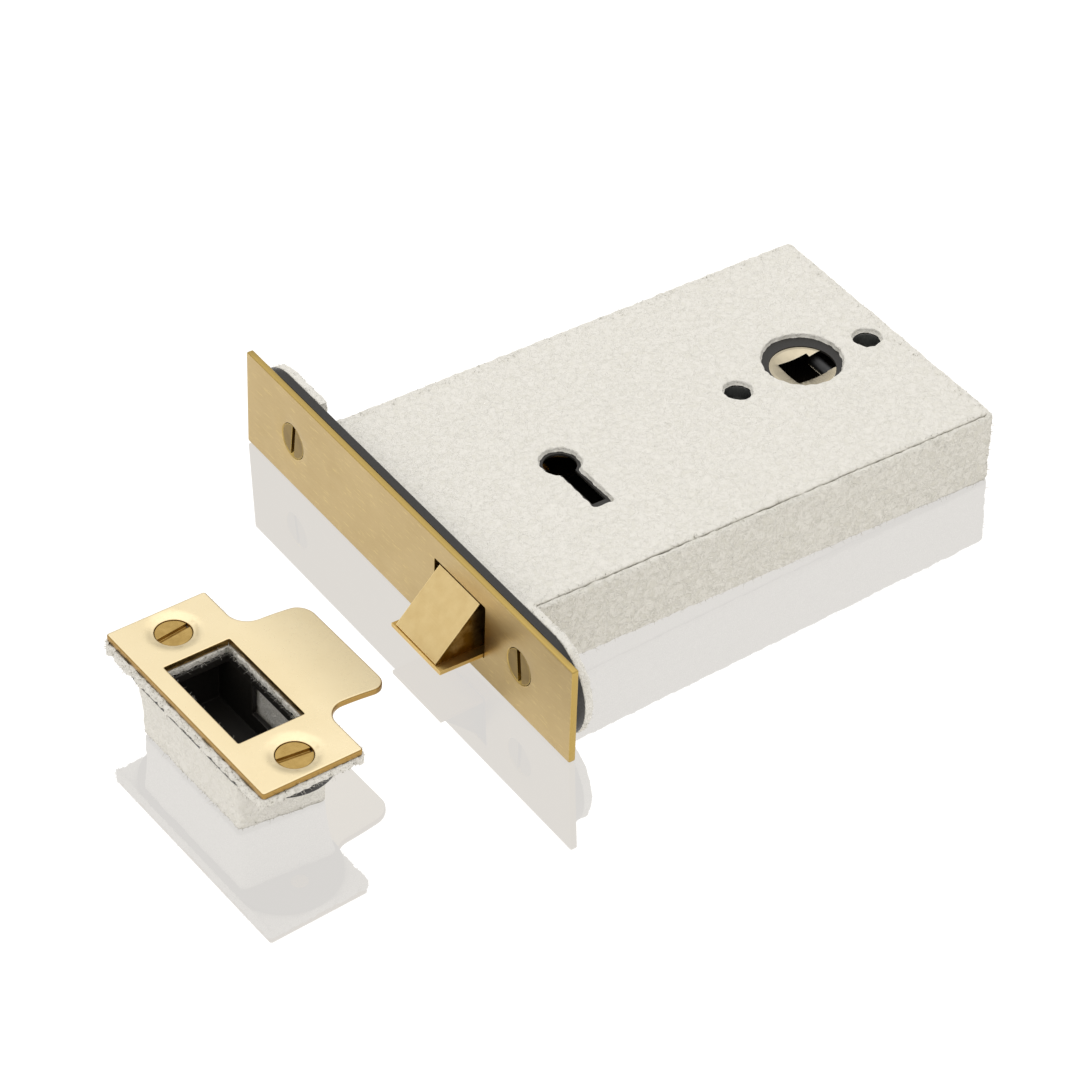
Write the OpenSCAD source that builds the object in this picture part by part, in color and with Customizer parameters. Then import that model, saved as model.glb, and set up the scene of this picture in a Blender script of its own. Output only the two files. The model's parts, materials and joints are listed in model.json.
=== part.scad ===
// Mortise lock with a bevelled spring latch and a key-thrown bolt in one opening,
// wrapped in felt fire liner, with its lipped strike plate and dust box beside it.
// +X runs from the face plate's front face into the door, +Y runs up the face
// plate and +Z runs through the thickness of the door. The origin is the centre
// of the face plate's front face.

/* [Face plate and forend] */
// Height of the brass face plate
plate_h = 134.75; // [130:0.25:140]
// Width of the brass face plate
plate_w = 26.5; // [26:0.5:28]
// Thickness of the brass face plate
plate_t = 1.75; // [1.5:0.05:2]
// Thickness of the steel forend behind it
forend_t = 2.1; // [1.9:0.1:2.3]
// Distance between the two face plate screws
plate_screw_span = 94.2; // [92:0.2:96]
// Distance between the two wood screw holes in the forend
wood_screw_span = 116; // [114:1:118]

/* [Case] */
// Length of the steel case behind the forend
case_len = 131.95; // [131:0.05:133]
// Height of the case above the centre line
case_up = 37; // [36.5:0.1:38]
// Height of the case below the centre line
case_down = 41; // [40.5:0.1:42]
// Outside thickness of the case
case_t = 16.1; // [15.9:0.1:16.3]
// Sheet thickness of the case's edge walls and of the dust box
wall = 1.2; // [1.1:0.05:1.25]
// Sheet thickness of the case's flat sides
face_wall = 0.7; // [0.6:0.05:0.75]
// Thickness of the felt round the edges of the case and round the box
felt = 1.5; // [1.2:0.1:1.8]
// Thickness of the felt on the case's flat sides
face_felt = 1.2; // [1:0.1:1.5]

/* [Spindle and key] */
// Distance of the follower's axis behind the face
follower_x = 111.2; // [111:0.1:111.4]
// Height of the follower's axis and the bolt-through holes
follower_y = -2; // [-2.2:0.1:-1.8]
// Side of the square spindle hole
square = 8.4; // [8.1:0.1:8.5]
// Distance between the two bolt-through holes
bolt_hole_span = 38; // [38:0.1:38.2]
// Radius of the bolt-through holes
bolt_hole_r = 3.5; // [3.2:0.1:3.6]
// Distance of the keyhole's round end behind the face
key_x = 42; // [41:0.5:43]
// Height of the keyhole's round end
key_y = -1.5; // [-2:0.1:-1]
// Radius that the key's bit sweeps
key_bit_r = 16; // [15:0.25:16.25]

/* [Latch and bolt] */
// How far the bevelled latch stands out at rest
latch_out = 11.2; // [10:0.1:11.25]
// How far the latch and the bolt travel
throw = 11.5; // [11.25:0.25:11.5]
// Width of the bevelled latch
latch_w = 16.2; // [15.5:0.1:16.4]
// Height of the latch's centre line
latch_y = -22.8; // [-23:0.1:-22.7]
// Thickness of the flat bolt under the latch
bolt_t = 1; // [0.9:0.05:1.1]
// Number of levers in the pack
lever_count = 5; // [3:1:5]

/* [Strike] */
// Centre of the strike plate along X where it lies
strike_x = -60.8; // [-64:0.2:-60]
// Centre of the strike plate along Y where it lies
strike_y = -26.4; // [-30:0.2:-20]
// Top of the strike plate where it lies
strike_top = 6.7; // [4:0.1:8]
// How far the strike is turned on the table, in degrees
strike_turn = 1.7; // [0:0.1:4]
// Length of the strike plate
strike_len = 62.7; // [62:0.1:64]
// Width of the strike plate without its lip
strike_w = 25.7; // [25:0.1:27]
// How far the lip runs beyond the plate
lip_out = 17.2; // [15:0.2:18]
// Distance between the strike's two screws
strike_screw_span = 48; // [47:0.2:49]
// Depth of the strike from its top to the underside of its wrapped box
strike_depth = 21.7; // [20:0.1:24]

/* [Hidden] */

$fn = 64;
cut = 0.5;                                   // how far a cutter runs past a face
case_x = plate_t + forend_t;                 // front of the case
case_end = case_x + case_len;                // back of the case
in_z = case_t / 2 - face_wall;               // half the height inside the case
out_z = case_t / 2;
felt_z = out_z + face_felt;
slide_gap = 0.05;                            // running clearance all round

opening_y = [-33.6, -13.1];                  // opening for latch and bolt, along Y
opening_z = [-7.6, 7.3];                     // opening for latch and bolt, along Z
screw_r = 4.5;                               // head radius of the brass screws
sink_r = screw_r + 0.16;                     // countersink's radius in the front face
screw_shank_r = 2;
screw_sink = 0.12;                           // how far a screw head sits below the face
screw_slot = 1.3;

cover_screw_at = [[18, 30], [124, 29], [124, -34], [62, -35]];
post_r = 3;
cover_screw_r = 1.5;

tail_z = [-5.95, -3.95];                     // latch tail, floor and top
lug_y = follower_y - 18.6;
lug_r = 2;
arm_half = 2;                                // half the width of the follower's arm
lug_x = follower_x + arm_half + lug_r + 0.1;
boss_r = 8;
spring_x = [14, 45];                         // latch spring, front and back
spring_z = 1.9;
spring_r = 3.2;                              // radius to the middle of the wire
wire_r = 0.45;

bolt_z = -in_z + slide_gap;                  // underside of the bolt plate
bolt_top = bolt_z + bolt_t;
latch_floor = bolt_top + 0.1;                // underside of the latch
latch_top = 6.4;
stump_at = [66, 15];
pivot_at = [92, 20];
guide_at = [22, 15];
lever_t = 1.2;
lever_pitch = 1.4;
lever_floor = -2;

liner_edge_r = 2.2;
pad_inset = 0.7;                             // from the plate's end to the felt pad's end
felt_hole_r = 9.8;                           // hole in the felt round the follower
felt_hole_off = [0.9, 1.5];                  // how far that hole is cut off the follower's axis
strike_plate_t = 1.75;
strike_felt = 1.9;
strike_steel_t = 2.1;
strike_open = [17, 29.7];                    // opening in the strike plate
strike_screw_r = 4.25;                       // head radius of the strike's screws
box_w = 16.2 + 2 * wall;                     // outside width of the dust box
box_y = [strike_y - 17.6, strike_y + 19.7];  // its two ends
box_felt = 1.2;
box_x = strike_x - 0.1;
box_window = [-13, 5.1, 8.9];                // its two ends along Y and its depth below the top
box_top = strike_top - strike_plate_t - strike_felt - strike_steel_t;
box_floor = strike_top - strike_depth + box_felt;

brass = "#CFB486";
steel = "#3A3836";
raw_steel = "#8C8C8A";
felt_white = "#DEDACF";
nickel = "#D8CDB4";

// ---- shared shapes ----

// box from a low corner to a high corner
module block(lo, hi) {
    translate(lo) cube(hi - lo);
}

// stadium outline in the Y-Z plane, extruded along X
module stadium_x(x0, t, y0, y1, r) {
    translate([x0, 0, 0]) rotate([90, 0, 90]) linear_extrude(t) {
        translate([y0 + r, 0]) circle(r);
        translate([y1 - r, 0]) circle(r);
        translate([y0 + r, -r]) square([y1 - y0 - 2 * r, 2 * r]);
    }
}

// strip with one square end at y_flat and one round end at y_round
module tongue_x(x0, t, y_flat, y_round, r) {
    s = sign(y_round - y_flat);
    c = y_round - s * r;
    translate([x0, 0, 0]) rotate([90, 0, 90]) linear_extrude(t) {
        translate([c, 0]) circle(r);
        translate([min(c, y_flat), -r]) square([abs(c - y_flat), 2 * r]);
    }
}

// cylinder along X
module rod_x(x0, x1, y, z, r, r2 = undef) {
    translate([x0, y, z]) rotate([0, 90, 0])
        cylinder(h = x1 - x0, r1 = r, r2 = is_undef(r2) ? r : r2);
}

// cylinder along Z
module rod_z(at, z0, z1, r, r2 = undef) {
    translate([at.x, at.y, z0])
        cylinder(h = z1 - z0, r1 = r, r2 = is_undef(r2) ? r : r2);
}

// slot with round ends along X, cut through Z
module slot_z(x0, x1, y, r, z0, z1) {
    rod_z([x0, y], z0, z1, r);
    rod_z([x1, y], z0, z1, r);
    block([x0, y - r, z0], [x1, y + r, z1]);
}

// the opening for latch and bolt through the face plate and the forend
module latch_opening(x0, x1) {
    block([x0, opening_y[0], opening_z[0]], [x1, opening_y[1], opening_z[1]]);
}

// keyhole through Z: round end and slot
module keyhole(z0, z1, r, half_slot, slot_end) {
    rod_z([key_x, key_y], z0, z1, r);
    block([key_x - half_slot, slot_end, z0], [key_x + half_slot, key_y, z1]);
}

// the pair of bolt-through holes
module bolt_holes(z0, z1, r) {
    for (s = [-1, 1]) rod_z([follower_x + s * bolt_hole_span / 2, follower_y], z0, z1, r);
}

// round-cornered rectangle in plan from a low to a high corner
module round_rect(lo, hi, r) {
    for (x = [lo.x + r, hi.x - r]) for (y = [lo.y + r, hi.y - r]) translate([x, y]) circle(r);
    translate([lo.x + r, lo.y]) square([hi.x - lo.x - 2 * r, hi.y - lo.y]);
    translate([lo.x, lo.y + r]) square([hi.x - lo.x, hi.y - lo.y - 2 * r]);
}

// ---- face plate, forend and their fasteners ----

module face_plate() color(brass) difference() {
    block([0, -plate_h / 2, -plate_w / 2], [plate_t, plate_h / 2, plate_w / 2]);
    latch_opening(-cut, plate_t + cut);
    for (s = [-1, 1]) rod_x(0, plate_t, s * plate_screw_span / 2, 0, sink_r, sink_r - plate_t);
}

// slotted countersunk head that tapers at 45 degrees into its shank, along +X from x0
module slotted_screw(len) {
    taper = screw_r - screw_shank_r;
    difference() {
        union() {
            rod_x(0, taper, 0, 0, screw_r, screw_shank_r);
            rod_x(taper, len, 0, 0, screw_shank_r);
        }
        block([-cut, -screw_slot / 2, -screw_r - cut], [1, screw_slot / 2, screw_r + cut]);
    }
}

module face_plate_screws() color(brass) {
    for (s = [-1, 1]) translate([screw_sink, s * plate_screw_span / 2, 0])
        rotate([s * 6, 0, 0]) slotted_screw(plate_t + forend_t - screw_sink);
}

module forend() color(steel) {
    lug = [9.5, 1.6, 8];
    half = plate_h / 2 - 0.1;
    r = plate_w / 2 - 0.05;
    difference() {
        union() {
            stadium_x(plate_t, forend_t, -half, half, r);
            translate([case_x - slide_gap, case_up - wall - lug.y, -lug.z / 2])
                cube([lug.x, lug.y, lug.z]);
            translate([case_x - slide_gap, -case_down + wall, -lug.z / 2])
                cube([lug.x, lug.y, lug.z]);
        }
        latch_opening(plate_t - cut, case_x + cut);
        for (s = [-1, 1]) {
            rod_x(plate_t, plate_t + 1, s * plate_screw_span / 2, 0,
                  sink_r - plate_t + 0.02, sink_r - plate_t - 0.98);
            rod_x(plate_t, case_x + cut, s * plate_screw_span / 2, 0, screw_shank_r);
            rod_x(plate_t - cut, case_x + cut, s * wood_screw_span / 2, 0, 2.4);
        }
        for (y = [-case_down, case_up]) rivet_holes(y);
    }
}

// two rivet holes through a side wall and the forend's lug inside it
module rivet_holes(y) {
    s = sign(y);
    for (z = [-2.2, 2.2]) translate([case_x + 5.5, y + s * cut, z]) rotate([s * 90, 0, 0])
        cylinder(h = 2 * wall + 1.6 + 2 * cut, r = 1.1);
}

module forend_rivets() color(raw_steel) {
    for (y = [-case_down, case_up]) for (z = [-2.2, 2.2]) {
        s = sign(y);
        translate([case_x + 5.5, y, z]) rotate([s * 90, 0, 0]) {
            cylinder(h = wall + 1.6, r = 1.1);
            translate([0, 0, wall + 1.6]) cylinder(h = 0.7, r1 = 1.9, r2 = 1.3);
        }
    }
}

// felt pad behind one end of the forend, with holes for the wood screw and the machine screw
module forend_pad(y_flat, y_round) {
    s = sign(y_round);
    difference() {
        tongue_x(case_x, felt + 0.5, y_flat, y_round, plate_w / 2 - 1.25);
        rod_x(case_x - cut, case_x + 3, s * wood_screw_span / 2, 0, 2.6);
        rod_x(case_x - cut, case_x + 3, s * plate_screw_span / 2, 0, 2.6);
    }
}

module forend_liner_upper() color(felt_white) forend_pad(41.5, plate_h / 2 - pad_inset);

module forend_liner_lower() color(felt_white)
    forend_pad(-case_down - felt - slide_gap, -plate_h / 2 + pad_inset);

// ---- case ----

module case_openings(z0, z1) {
    keyhole(z0, z1, 4, 1.9, -17.3);
    bolt_holes(z0, z1, bolt_hole_r);
    rod_z([follower_x, follower_y], z0, z1, boss_r + slide_gap);
}

module case_tray() color(steel) difference() {
    block([case_x, -case_down, -out_z], [case_end, case_up, in_z]);
    block([case_x - cut, -case_down + wall, -in_z],
          [case_end - wall, case_up - wall, in_z + cut]);
    case_openings(-out_z - cut, 0);
    for (y = [-case_down, case_up]) rivet_holes(y);
    rod_z(pivot_at, -out_z - cut, 0, 1.6);
    rod_z(guide_at, -out_z - cut, 0, 1.2);
}

module case_cover() color(steel) difference() {
    block([case_x, -case_down, in_z], [case_end, case_up, out_z]);
    case_openings(in_z - cut, out_z + cut);
    for (at = cover_screw_at)
        rod_z(at, in_z, out_z, cover_screw_r, cover_screw_r + wall);
}

module case_posts() color(raw_steel) for (at = cover_screw_at) difference() {
    rod_z(at, -in_z, in_z, post_r);
    rod_z(at, 0, in_z + cut, cover_screw_r);
}

module cover_screws() color(raw_steel) for (at = cover_screw_at) difference() {
    union() {
        rod_z(at, in_z, out_z, cover_screw_r, cover_screw_r + wall);
        rod_z(at, 0.4, in_z, cover_screw_r);
    }
    translate([at.x - 3.5, at.y - 0.4, out_z - 0.6]) cube([7, 0.8, 1]);
}

module liner_sheet(z0, z1) difference() {
    block([case_x, -case_down, z0], [case_end, case_up, z1]);
    keyhole(z0 - cut, z1 + cut, 4.9, 2.65, -19.5);
    bolt_holes(z0 - cut, z1 + cut, bolt_hole_r);
    rod_z([follower_x, follower_y] + felt_hole_off, z0 - cut, z1 + cut, felt_hole_r);
}

module liner_top() color(felt_white) liner_sheet(out_z, felt_z);

module liner_bottom() color(felt_white) liner_sheet(-felt_z, -out_z);

// one strip round the lower side, the back and the upper side of the case
module liner_edge() color(felt_white) translate([0, 0, -felt_z]) linear_extrude(2 * felt_z)
    difference() {
        intersection() {
            round_rect([case_x - 20, -case_down - felt], [case_end + felt, case_up + felt],
                       liner_edge_r);
            translate([case_x, -case_down - 20]) square([200, 200]);
        }
        translate([case_x - 20, -case_down]) square([case_len + 20, case_down + case_up]);
    }

module bolt_sleeves() color(raw_steel) difference() {
    bolt_holes(-in_z, in_z, bolt_hole_r + 0.8);
    bolt_holes(-in_z - cut, in_z + cut, bolt_hole_r);
}

// ---- spring latch ----

module latch_head() color(brass) difference() {
    lo_y = latch_y - latch_w / 2;
    union() {
        translate([0, lo_y + latch_w, 0]) rotate([90, 0, 0]) linear_extrude(latch_w)
            polygon([[-latch_out, latch_floor], [spring_x[0], latch_floor],
                     [spring_x[0], latch_top], [0.3, latch_top],
                     [-latch_out, latch_floor + 0.35]]);
        block([case_x + 0.3, opening_y[0] - 1.1, latch_floor],
              [case_x + 2.6, opening_y[1] + 1.1, latch_top]);
        rod_x(spring_x[0], spring_x[0] + 2, latch_y, spring_z, 2.4, 2);
    }
    block([4, latch_y - 3, tail_z[0]], [spring_x[0] + cut, latch_y + 3, tail_z[1]]);
    rod_z([9.5, latch_y], latch_floor - cut, in_z, 1.2);
}

module latch_tail() color(raw_steel) difference() {
    union() {
        block([4, latch_y - 3, tail_z[0]], [102, latch_y + 3, tail_z[1]]);
        block([100, latch_y - 3, tail_z[0]], [lug_x + 3.5, lug_y + 2.6, tail_z[1]]);
    }
    rod_z([9.5, latch_y], tail_z[0] - cut, tail_z[1] + cut, 1.2);
    rod_z([lug_x, lug_y], tail_z[0] - cut, tail_z[1] + cut, 1.3);
}

module latch_rivets() color(brass) rod_z([9.5, latch_y], latch_floor, latch_top, 1.2);

module latch_lug() color(raw_steel) {
    rod_z([lug_x, lug_y], tail_z[0], tail_z[1], 1.3);
    rod_z([lug_x, lug_y], tail_z[1], 1.2, lug_r);
}

module latch_guide() color(raw_steel) difference() {
    union() {
        block([spring_x[1], -31, -in_z], [spring_x[1] + 3, -18, in_z]);
        rod_x(spring_x[1] - 2, spring_x[1], latch_y, spring_z, 2, 2.4);
    }
    block([spring_x[1] - cut, latch_y - 3.15, tail_z[0] - 0.15],
          [spring_x[1] + 3 + cut, latch_y + 3.15, tail_z[1] + 0.15]);
}

// helix of round wire: rings of points joined by quads, closed at both ends
spring_turns = 9;
spring_steps = 22;
spring_sides = 8;
spring_len = spring_x[1] - spring_x[0] - 2 * wire_r;
spring_rings = spring_turns * spring_steps;

// point on the wire's surface for one ring and one side
function coil_point(i, j) =
    let (a = 360 * i / spring_steps,
         b = 360 * j / spring_sides,
         r = spring_r + wire_r * cos(b),
         x = spring_x[0] + wire_r + spring_len * i / spring_rings + wire_r * sin(b))
    [x, latch_y + r * cos(a), spring_z + r * sin(a)];

module latch_spring() color(raw_steel) polyhedron(
    points = [for (i = [0 : spring_rings]) for (j = [0 : spring_sides - 1]) coil_point(i, j)],
    faces = concat(
        [[for (j = [0 : spring_sides - 1]) j]],
        [for (i = [0 : spring_rings - 1]) for (j = [0 : spring_sides - 1])
            [i * spring_sides + j, (i + 1) * spring_sides + j,
             (i + 1) * spring_sides + (j + 1) % spring_sides,
             i * spring_sides + (j + 1) % spring_sides]],
        [[for (j = [spring_sides - 1 : -1 : 0]) spring_rings * spring_sides + j]]));

// ---- follower ----

collar_r = 10;
pin_r = 1.7;
pin_x = follower_x + square / 2 + 0.2 + pin_r;
pin_z = in_z - 0.6 - pin_r;
pin_y = [follower_y - 4, follower_y + 3];
dish = [7.2, 4.2, 0.6];                      // rim radius, floor radius and depth

module follower() color(nickel) difference() {
    union() {
        rod_z([follower_x, follower_y], -out_z + 0.2, out_z - 0.2, boss_r);
        rod_z([follower_x, follower_y], -in_z + 0.25, in_z - 0.25, collar_r);
        block([follower_x - arm_half, lug_y - 5.5, -2.7],
              [follower_x + arm_half, follower_y, 1.2]);
        rod_z([follower_x, lug_y - 5.5], -2.7, 1.2, arm_half);
    }
    block([follower_x - square / 2, follower_y - square / 2, -out_z - cut],
          [follower_x + square / 2, follower_y + square / 2, out_z + cut]);
    for (s = [-1, 1]) translate([follower_x, follower_y, s * (out_z - 0.2)])
        mirror([0, 0, s < 0 ? 1 : 0]) translate([0, 0, -dish.z])
            cylinder(h = dish.z, r1 = dish.y, r2 = dish.x);
    block([follower_x, pin_y[0], pin_z], [follower_x + collar_r + 1, pin_y[1], out_z + cut]);
    translate([pin_x, pin_y[1], pin_z]) rotate([90, 0, 0])
        cylinder(h = pin_y[1] - pin_y[0], r = pin_r);
}

// round bar let into the boss beside the square hole
module follower_pin() color(steel)
    translate([pin_x, pin_y[1], pin_z]) rotate([90, 0, 0])
        cylinder(h = pin_y[1] - pin_y[0], r = pin_r);

// ---- key-thrown bolt ----

module bolt_plate() color(brass) difference() {
    union() {
        block([-latch_out - 0.4, opening_y[0] + 0.3, bolt_z], [12, opening_y[1] - 0.3, bolt_top]);
        block([case_x + 0.45, opening_y[0] + 0.3, bolt_z], [12, 21, bolt_top]);
        block([case_x + 0.45, 9, bolt_z], [76, 21, bolt_top]);
    }
    slot_z(guide_at.x - throw, guide_at.x, guide_at.y, 1.9, bolt_z - cut, bolt_top + cut);
    rod_z(stump_at, bolt_z - cut, bolt_top + cut, 1.4);
}

// raised pad on the bolt with the notch that the key's bit turns in
module bolt_talon() color(brass) difference() {
    notch_x = key_x - throw / 2;
    block([notch_x - 10.5, 9, bolt_top], [notch_x + 10.5, 18, lever_floor - 0.4]);
    block([notch_x - 4.7, 9 - cut, bolt_top - cut], [notch_x + 4.7, key_y + key_bit_r, 0]);
}

module bolt_stump() color(raw_steel) {
    rod_z(stump_at, bolt_z, bolt_top, 1.4);
    rod_z(stump_at, bolt_top, 5.6, 2);
}

module bolt_guide_post() color(raw_steel) {
    rod_z(guide_at, -out_z, -in_z, 1.2);
    rod_z(guide_at, -in_z, bolt_top + 0.3, 1.8);
    rod_z(guide_at, bolt_top + 0.3, bolt_top + 1.1, 3);
}

// ---- lever pack ----

module lever_pivot() color(raw_steel) {
    rod_z(pivot_at, -out_z, -in_z, 1.6);
    rod_z(pivot_at, -in_z, lever_floor - 0.1, 4);
    rod_z(pivot_at, lever_floor - 0.1, in_z, 2.5);
}

function lever_z(i) = lever_floor + (i - 1) * lever_pitch;

// lever i, counted from 1 next to the bolt; each belly is cut a little differently
module lever(i) color(brass) {
    z0 = lever_z(i);
    z1 = z0 + lever_t;
    belly_r = key_bit_r - 1.5 + 0.3 * ((2 * i) % 5);
    low_y = stump_at.y - 6;
    top_y = pivot_at.y + 6;
    difference() {
        union() {
            rod_z(pivot_at, z0, z1, 6);
            block([34, low_y, z0], [pivot_at.x, top_y, z1]);
            rod_z([34, (low_y + top_y) / 2], z0, z1, (top_y - low_y) / 2);
        }
        rod_z([key_x, key_y], z0 - cut, z1 + cut, belly_r);
        rod_z(pivot_at, z0 - cut, z1 + cut, 2.55);
        block([pivot_at.x, low_y - cut, z0 - cut],
              [pivot_at.x + 7, pivot_at.y - 6, z1 + cut]);
        lever_window(z0 - cut, z1 + cut);
        block([52, top_y - 1, z0 - cut], [82, top_y + cut, z1 + cut]);
    }
}

// gate between a front and a back pocket, in line with the stump
module lever_window(z0, z1) {
    gate = 2.3;
    x0 = stump_at.x - gate;
    x1 = stump_at.x + throw + gate;
    block([x0, stump_at.y - gate, z0], [x1, stump_at.y + gate, z1]);
    block([x0, stump_at.y - gate - 1.6, z0], [x0 + 4.8, stump_at.y + gate + 1.6, z1]);
    block([x1 - 4.8, stump_at.y - gate - 1.2, z0], [x1, stump_at.y + gate + 1.2, z1]);
}

// bent leaf of thin strip, seated in the notch on the lever's back
module lever_spring(i) color(raw_steel) translate([0, 0, lever_z(i) + 0.1])
    linear_extrude(lever_t - 0.2) {
        leaf = 0.4;
        translate([72, pivot_at.y + 5]) square([9, leaf]);
        translate([72, pivot_at.y + 5]) rotate(168) translate([0, -leaf])
            square([32, leaf]);
        translate([72, pivot_at.y + 5 + leaf / 2]) circle(leaf / 2);
    }

// ---- strike ----

strike_hi = strike_x + strike_w / 2;
strike_lo = strike_x - strike_w / 2;
lip_y = [strike_y - 16, strike_y + 17];
lip_drop_r = 87;
lip_corner = 4;
lip_fillet = 5;

// the strike's pieces as they lie, turned about the strike's centre
module lying() translate([strike_x, strike_y, 0]) rotate([0, 0, strike_turn])
    translate([-strike_x, -strike_y, 0]) children();

// plan of the brass plate: rectangle, lip with rounded corners, and hollow fillets beside it
module strike_outline() {
    round_rect([strike_lo, strike_y - strike_len / 2], [strike_hi, strike_y + strike_len / 2], 0.6);
    round_rect([strike_hi - 10, lip_y[0]], [strike_hi + lip_out, lip_y[1]], lip_corner);
    for (s = [0, 1]) difference() {
        edge = lip_y[s];
        out = s == 0 ? -1 : 1;
        translate([strike_hi - 1, min(edge, edge + out * lip_fillet)])
            square([lip_fillet + 1, lip_fillet]);
        translate([strike_hi + lip_fillet, edge + out * lip_fillet]) circle(lip_fillet);
    }
}

// flat plate whose lip bends down along an arc
module strike_sheet() {
    half = strike_len / 2 + 1;
    block([strike_lo - 1, strike_y - half, strike_top - strike_plate_t],
          [strike_hi, strike_y + half, strike_top]);
    translate([strike_hi, strike_y + half, strike_top - lip_drop_r]) rotate([90, 0, 0])
        intersection() {
            difference() {
                cylinder(h = 2 * half, r = lip_drop_r, $fn = 180);
                translate([0, 0, -cut])
                    cylinder(h = 2 * half + 1, r = lip_drop_r - strike_plate_t, $fn = 180);
            }
            translate([0, lip_drop_r - 10, 0]) cube([lip_out + 1, 12, 2 * half]);
        }
}

module strike_opening(z0, z1, grow = 0) {
    block([strike_x + 0.2 - strike_open.x / 2 - grow, strike_y - strike_open.y / 2 - grow, z0],
          [strike_x + 0.2 + strike_open.x / 2 + grow, strike_y + strike_open.y / 2 + grow, z1]);
}

module strike_plate() color(brass) lying() difference() {
    dish_r = 30;
    head_z = strike_top - 0.65;
    intersection() {
        strike_sheet();
        translate([0, 0, strike_top - 12]) linear_extrude(14) strike_outline();
    }
    strike_opening(strike_top - 3, strike_top + cut);
    for (s = [-1, 1]) translate([strike_x, strike_y + s * strike_screw_span / 2, 0]) {
        translate([0, 0, head_z + dish_r]) sphere(dish_r, $fn = 128);
        rod_z([0, 0], strike_top - strike_plate_t - cut, head_z + cut, strike_screw_r + 0.1);
    }
}

module strike_screws() color(brass) lying() for (s = [-1, 1])
    translate([strike_x, strike_y + s * strike_screw_span / 2, strike_top - 0.75])
        rotate([0, 90, s * 7]) difference() {
            union() {
                rod_x(0, 0.9, 0, 0, strike_screw_r);
                rod_x(0.9, 3.4, 0, 0, strike_screw_r, screw_shank_r);
                rod_x(3.4, 5, 0, 0, screw_shank_r);
            }
            block([-cut, -screw_slot / 2, -screw_r - cut], [0.9, screw_slot / 2, screw_r + cut]);
        }

// screw clearance through the layers under the strike plate, to match the head's taper
module strike_screw_holes() {
    for (s = [-1, 1]) translate([strike_x, strike_y + s * strike_screw_span / 2, 0]) {
        rod_z([0, 0], strike_top - 4.15, strike_top - 1.65, screw_shank_r + slide_gap,
              strike_screw_r + slide_gap);
        rod_z([0, 0], strike_top - 10, strike_top - 4.15, screw_shank_r + slide_gap);
    }
}

module strike_liner() color(felt_white) lying() difference() {
    z1 = strike_top - strike_plate_t;
    translate([0, 0, z1 - strike_felt]) linear_extrude(strike_felt)
        round_rect([strike_lo - 0.3, strike_y - strike_len / 2 - 0.3],
                   [strike_hi + 0.3, strike_y + strike_len / 2 + 0.3], 1.5);
    strike_opening(z1 - 3, z1 + 1, -0.4);
    strike_screw_holes();
}

module strike_inner_plate() color(steel) lying() difference() {
    z0 = box_top;
    r = strike_w / 2;
    translate([0, 0, z0]) linear_extrude(strike_steel_t) {
        translate([strike_x, strike_y - strike_len / 2 + r]) circle(r);
        translate([strike_x, strike_y + strike_len / 2 - r]) circle(r);
        translate([strike_lo, strike_y - strike_len / 2 + r])
            square([strike_w, strike_len - 2 * r]);
    }
    strike_opening(z0 - 1, z0 + strike_steel_t + 1, -0.8);
    strike_screw_holes();
}

// folded box, open at the top, with a window in the side towards the door's edge
module dust_box() color(steel) lying() difference() {
    lo = [box_x - box_w / 2, box_y[0], box_floor];
    hi = [box_x + box_w / 2, box_y[1], box_top];
    block(lo, hi);
    block([lo.x + wall, lo.y + wall, lo.z + wall], [hi.x - wall, hi.y - wall, hi.z + cut]);
    block([hi.x - wall - cut, strike_y + box_window[0], box_top - box_window[2]],
          [hi.x + cut, strike_y + box_window[1], hi.z + cut]);
}

// felt wrap round the box's sides and floor
module dust_box_liner() color(felt_white) lying() difference() {
    lo = [box_x - box_w / 2, box_y[0]];
    hi = [box_x + box_w / 2, box_y[1]];
    translate([0, 0, box_floor - box_felt]) linear_extrude(box_top - box_floor + box_felt)
        round_rect(lo - [box_felt, box_felt], hi + [box_felt, box_felt], 1.6);
    block([lo.x, lo.y, box_floor], [hi.x, hi.y, box_top + cut]);
}

face_plate();
face_plate_screws();
forend();
forend_rivets();
forend_liner_upper();
forend_liner_lower();
case_tray();
case_cover();
case_posts();
cover_screws();
liner_top();
liner_bottom();
liner_edge();
bolt_sleeves();
latch_head();
latch_tail();
latch_rivets();
latch_lug();
latch_guide();
latch_spring();
follower();
follower_pin();
bolt_plate();
bolt_talon();
bolt_stump();
bolt_guide_post();
lever_pivot();
for (i = [1 : lever_count]) lever(i);
for (i = [1 : lever_count]) lever_spring(i);
strike_plate();
strike_screws();
strike_liner();
strike_inner_plate();
dust_box();
dust_box_liner();
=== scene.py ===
import json
import logging
import math
import random
from collections.abc import Callable, Iterable, Sequence
from dataclasses import dataclass, field
from enum import Enum

import bmesh
import bpy
from mathutils import Matrix, Vector, geometry, noise


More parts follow.
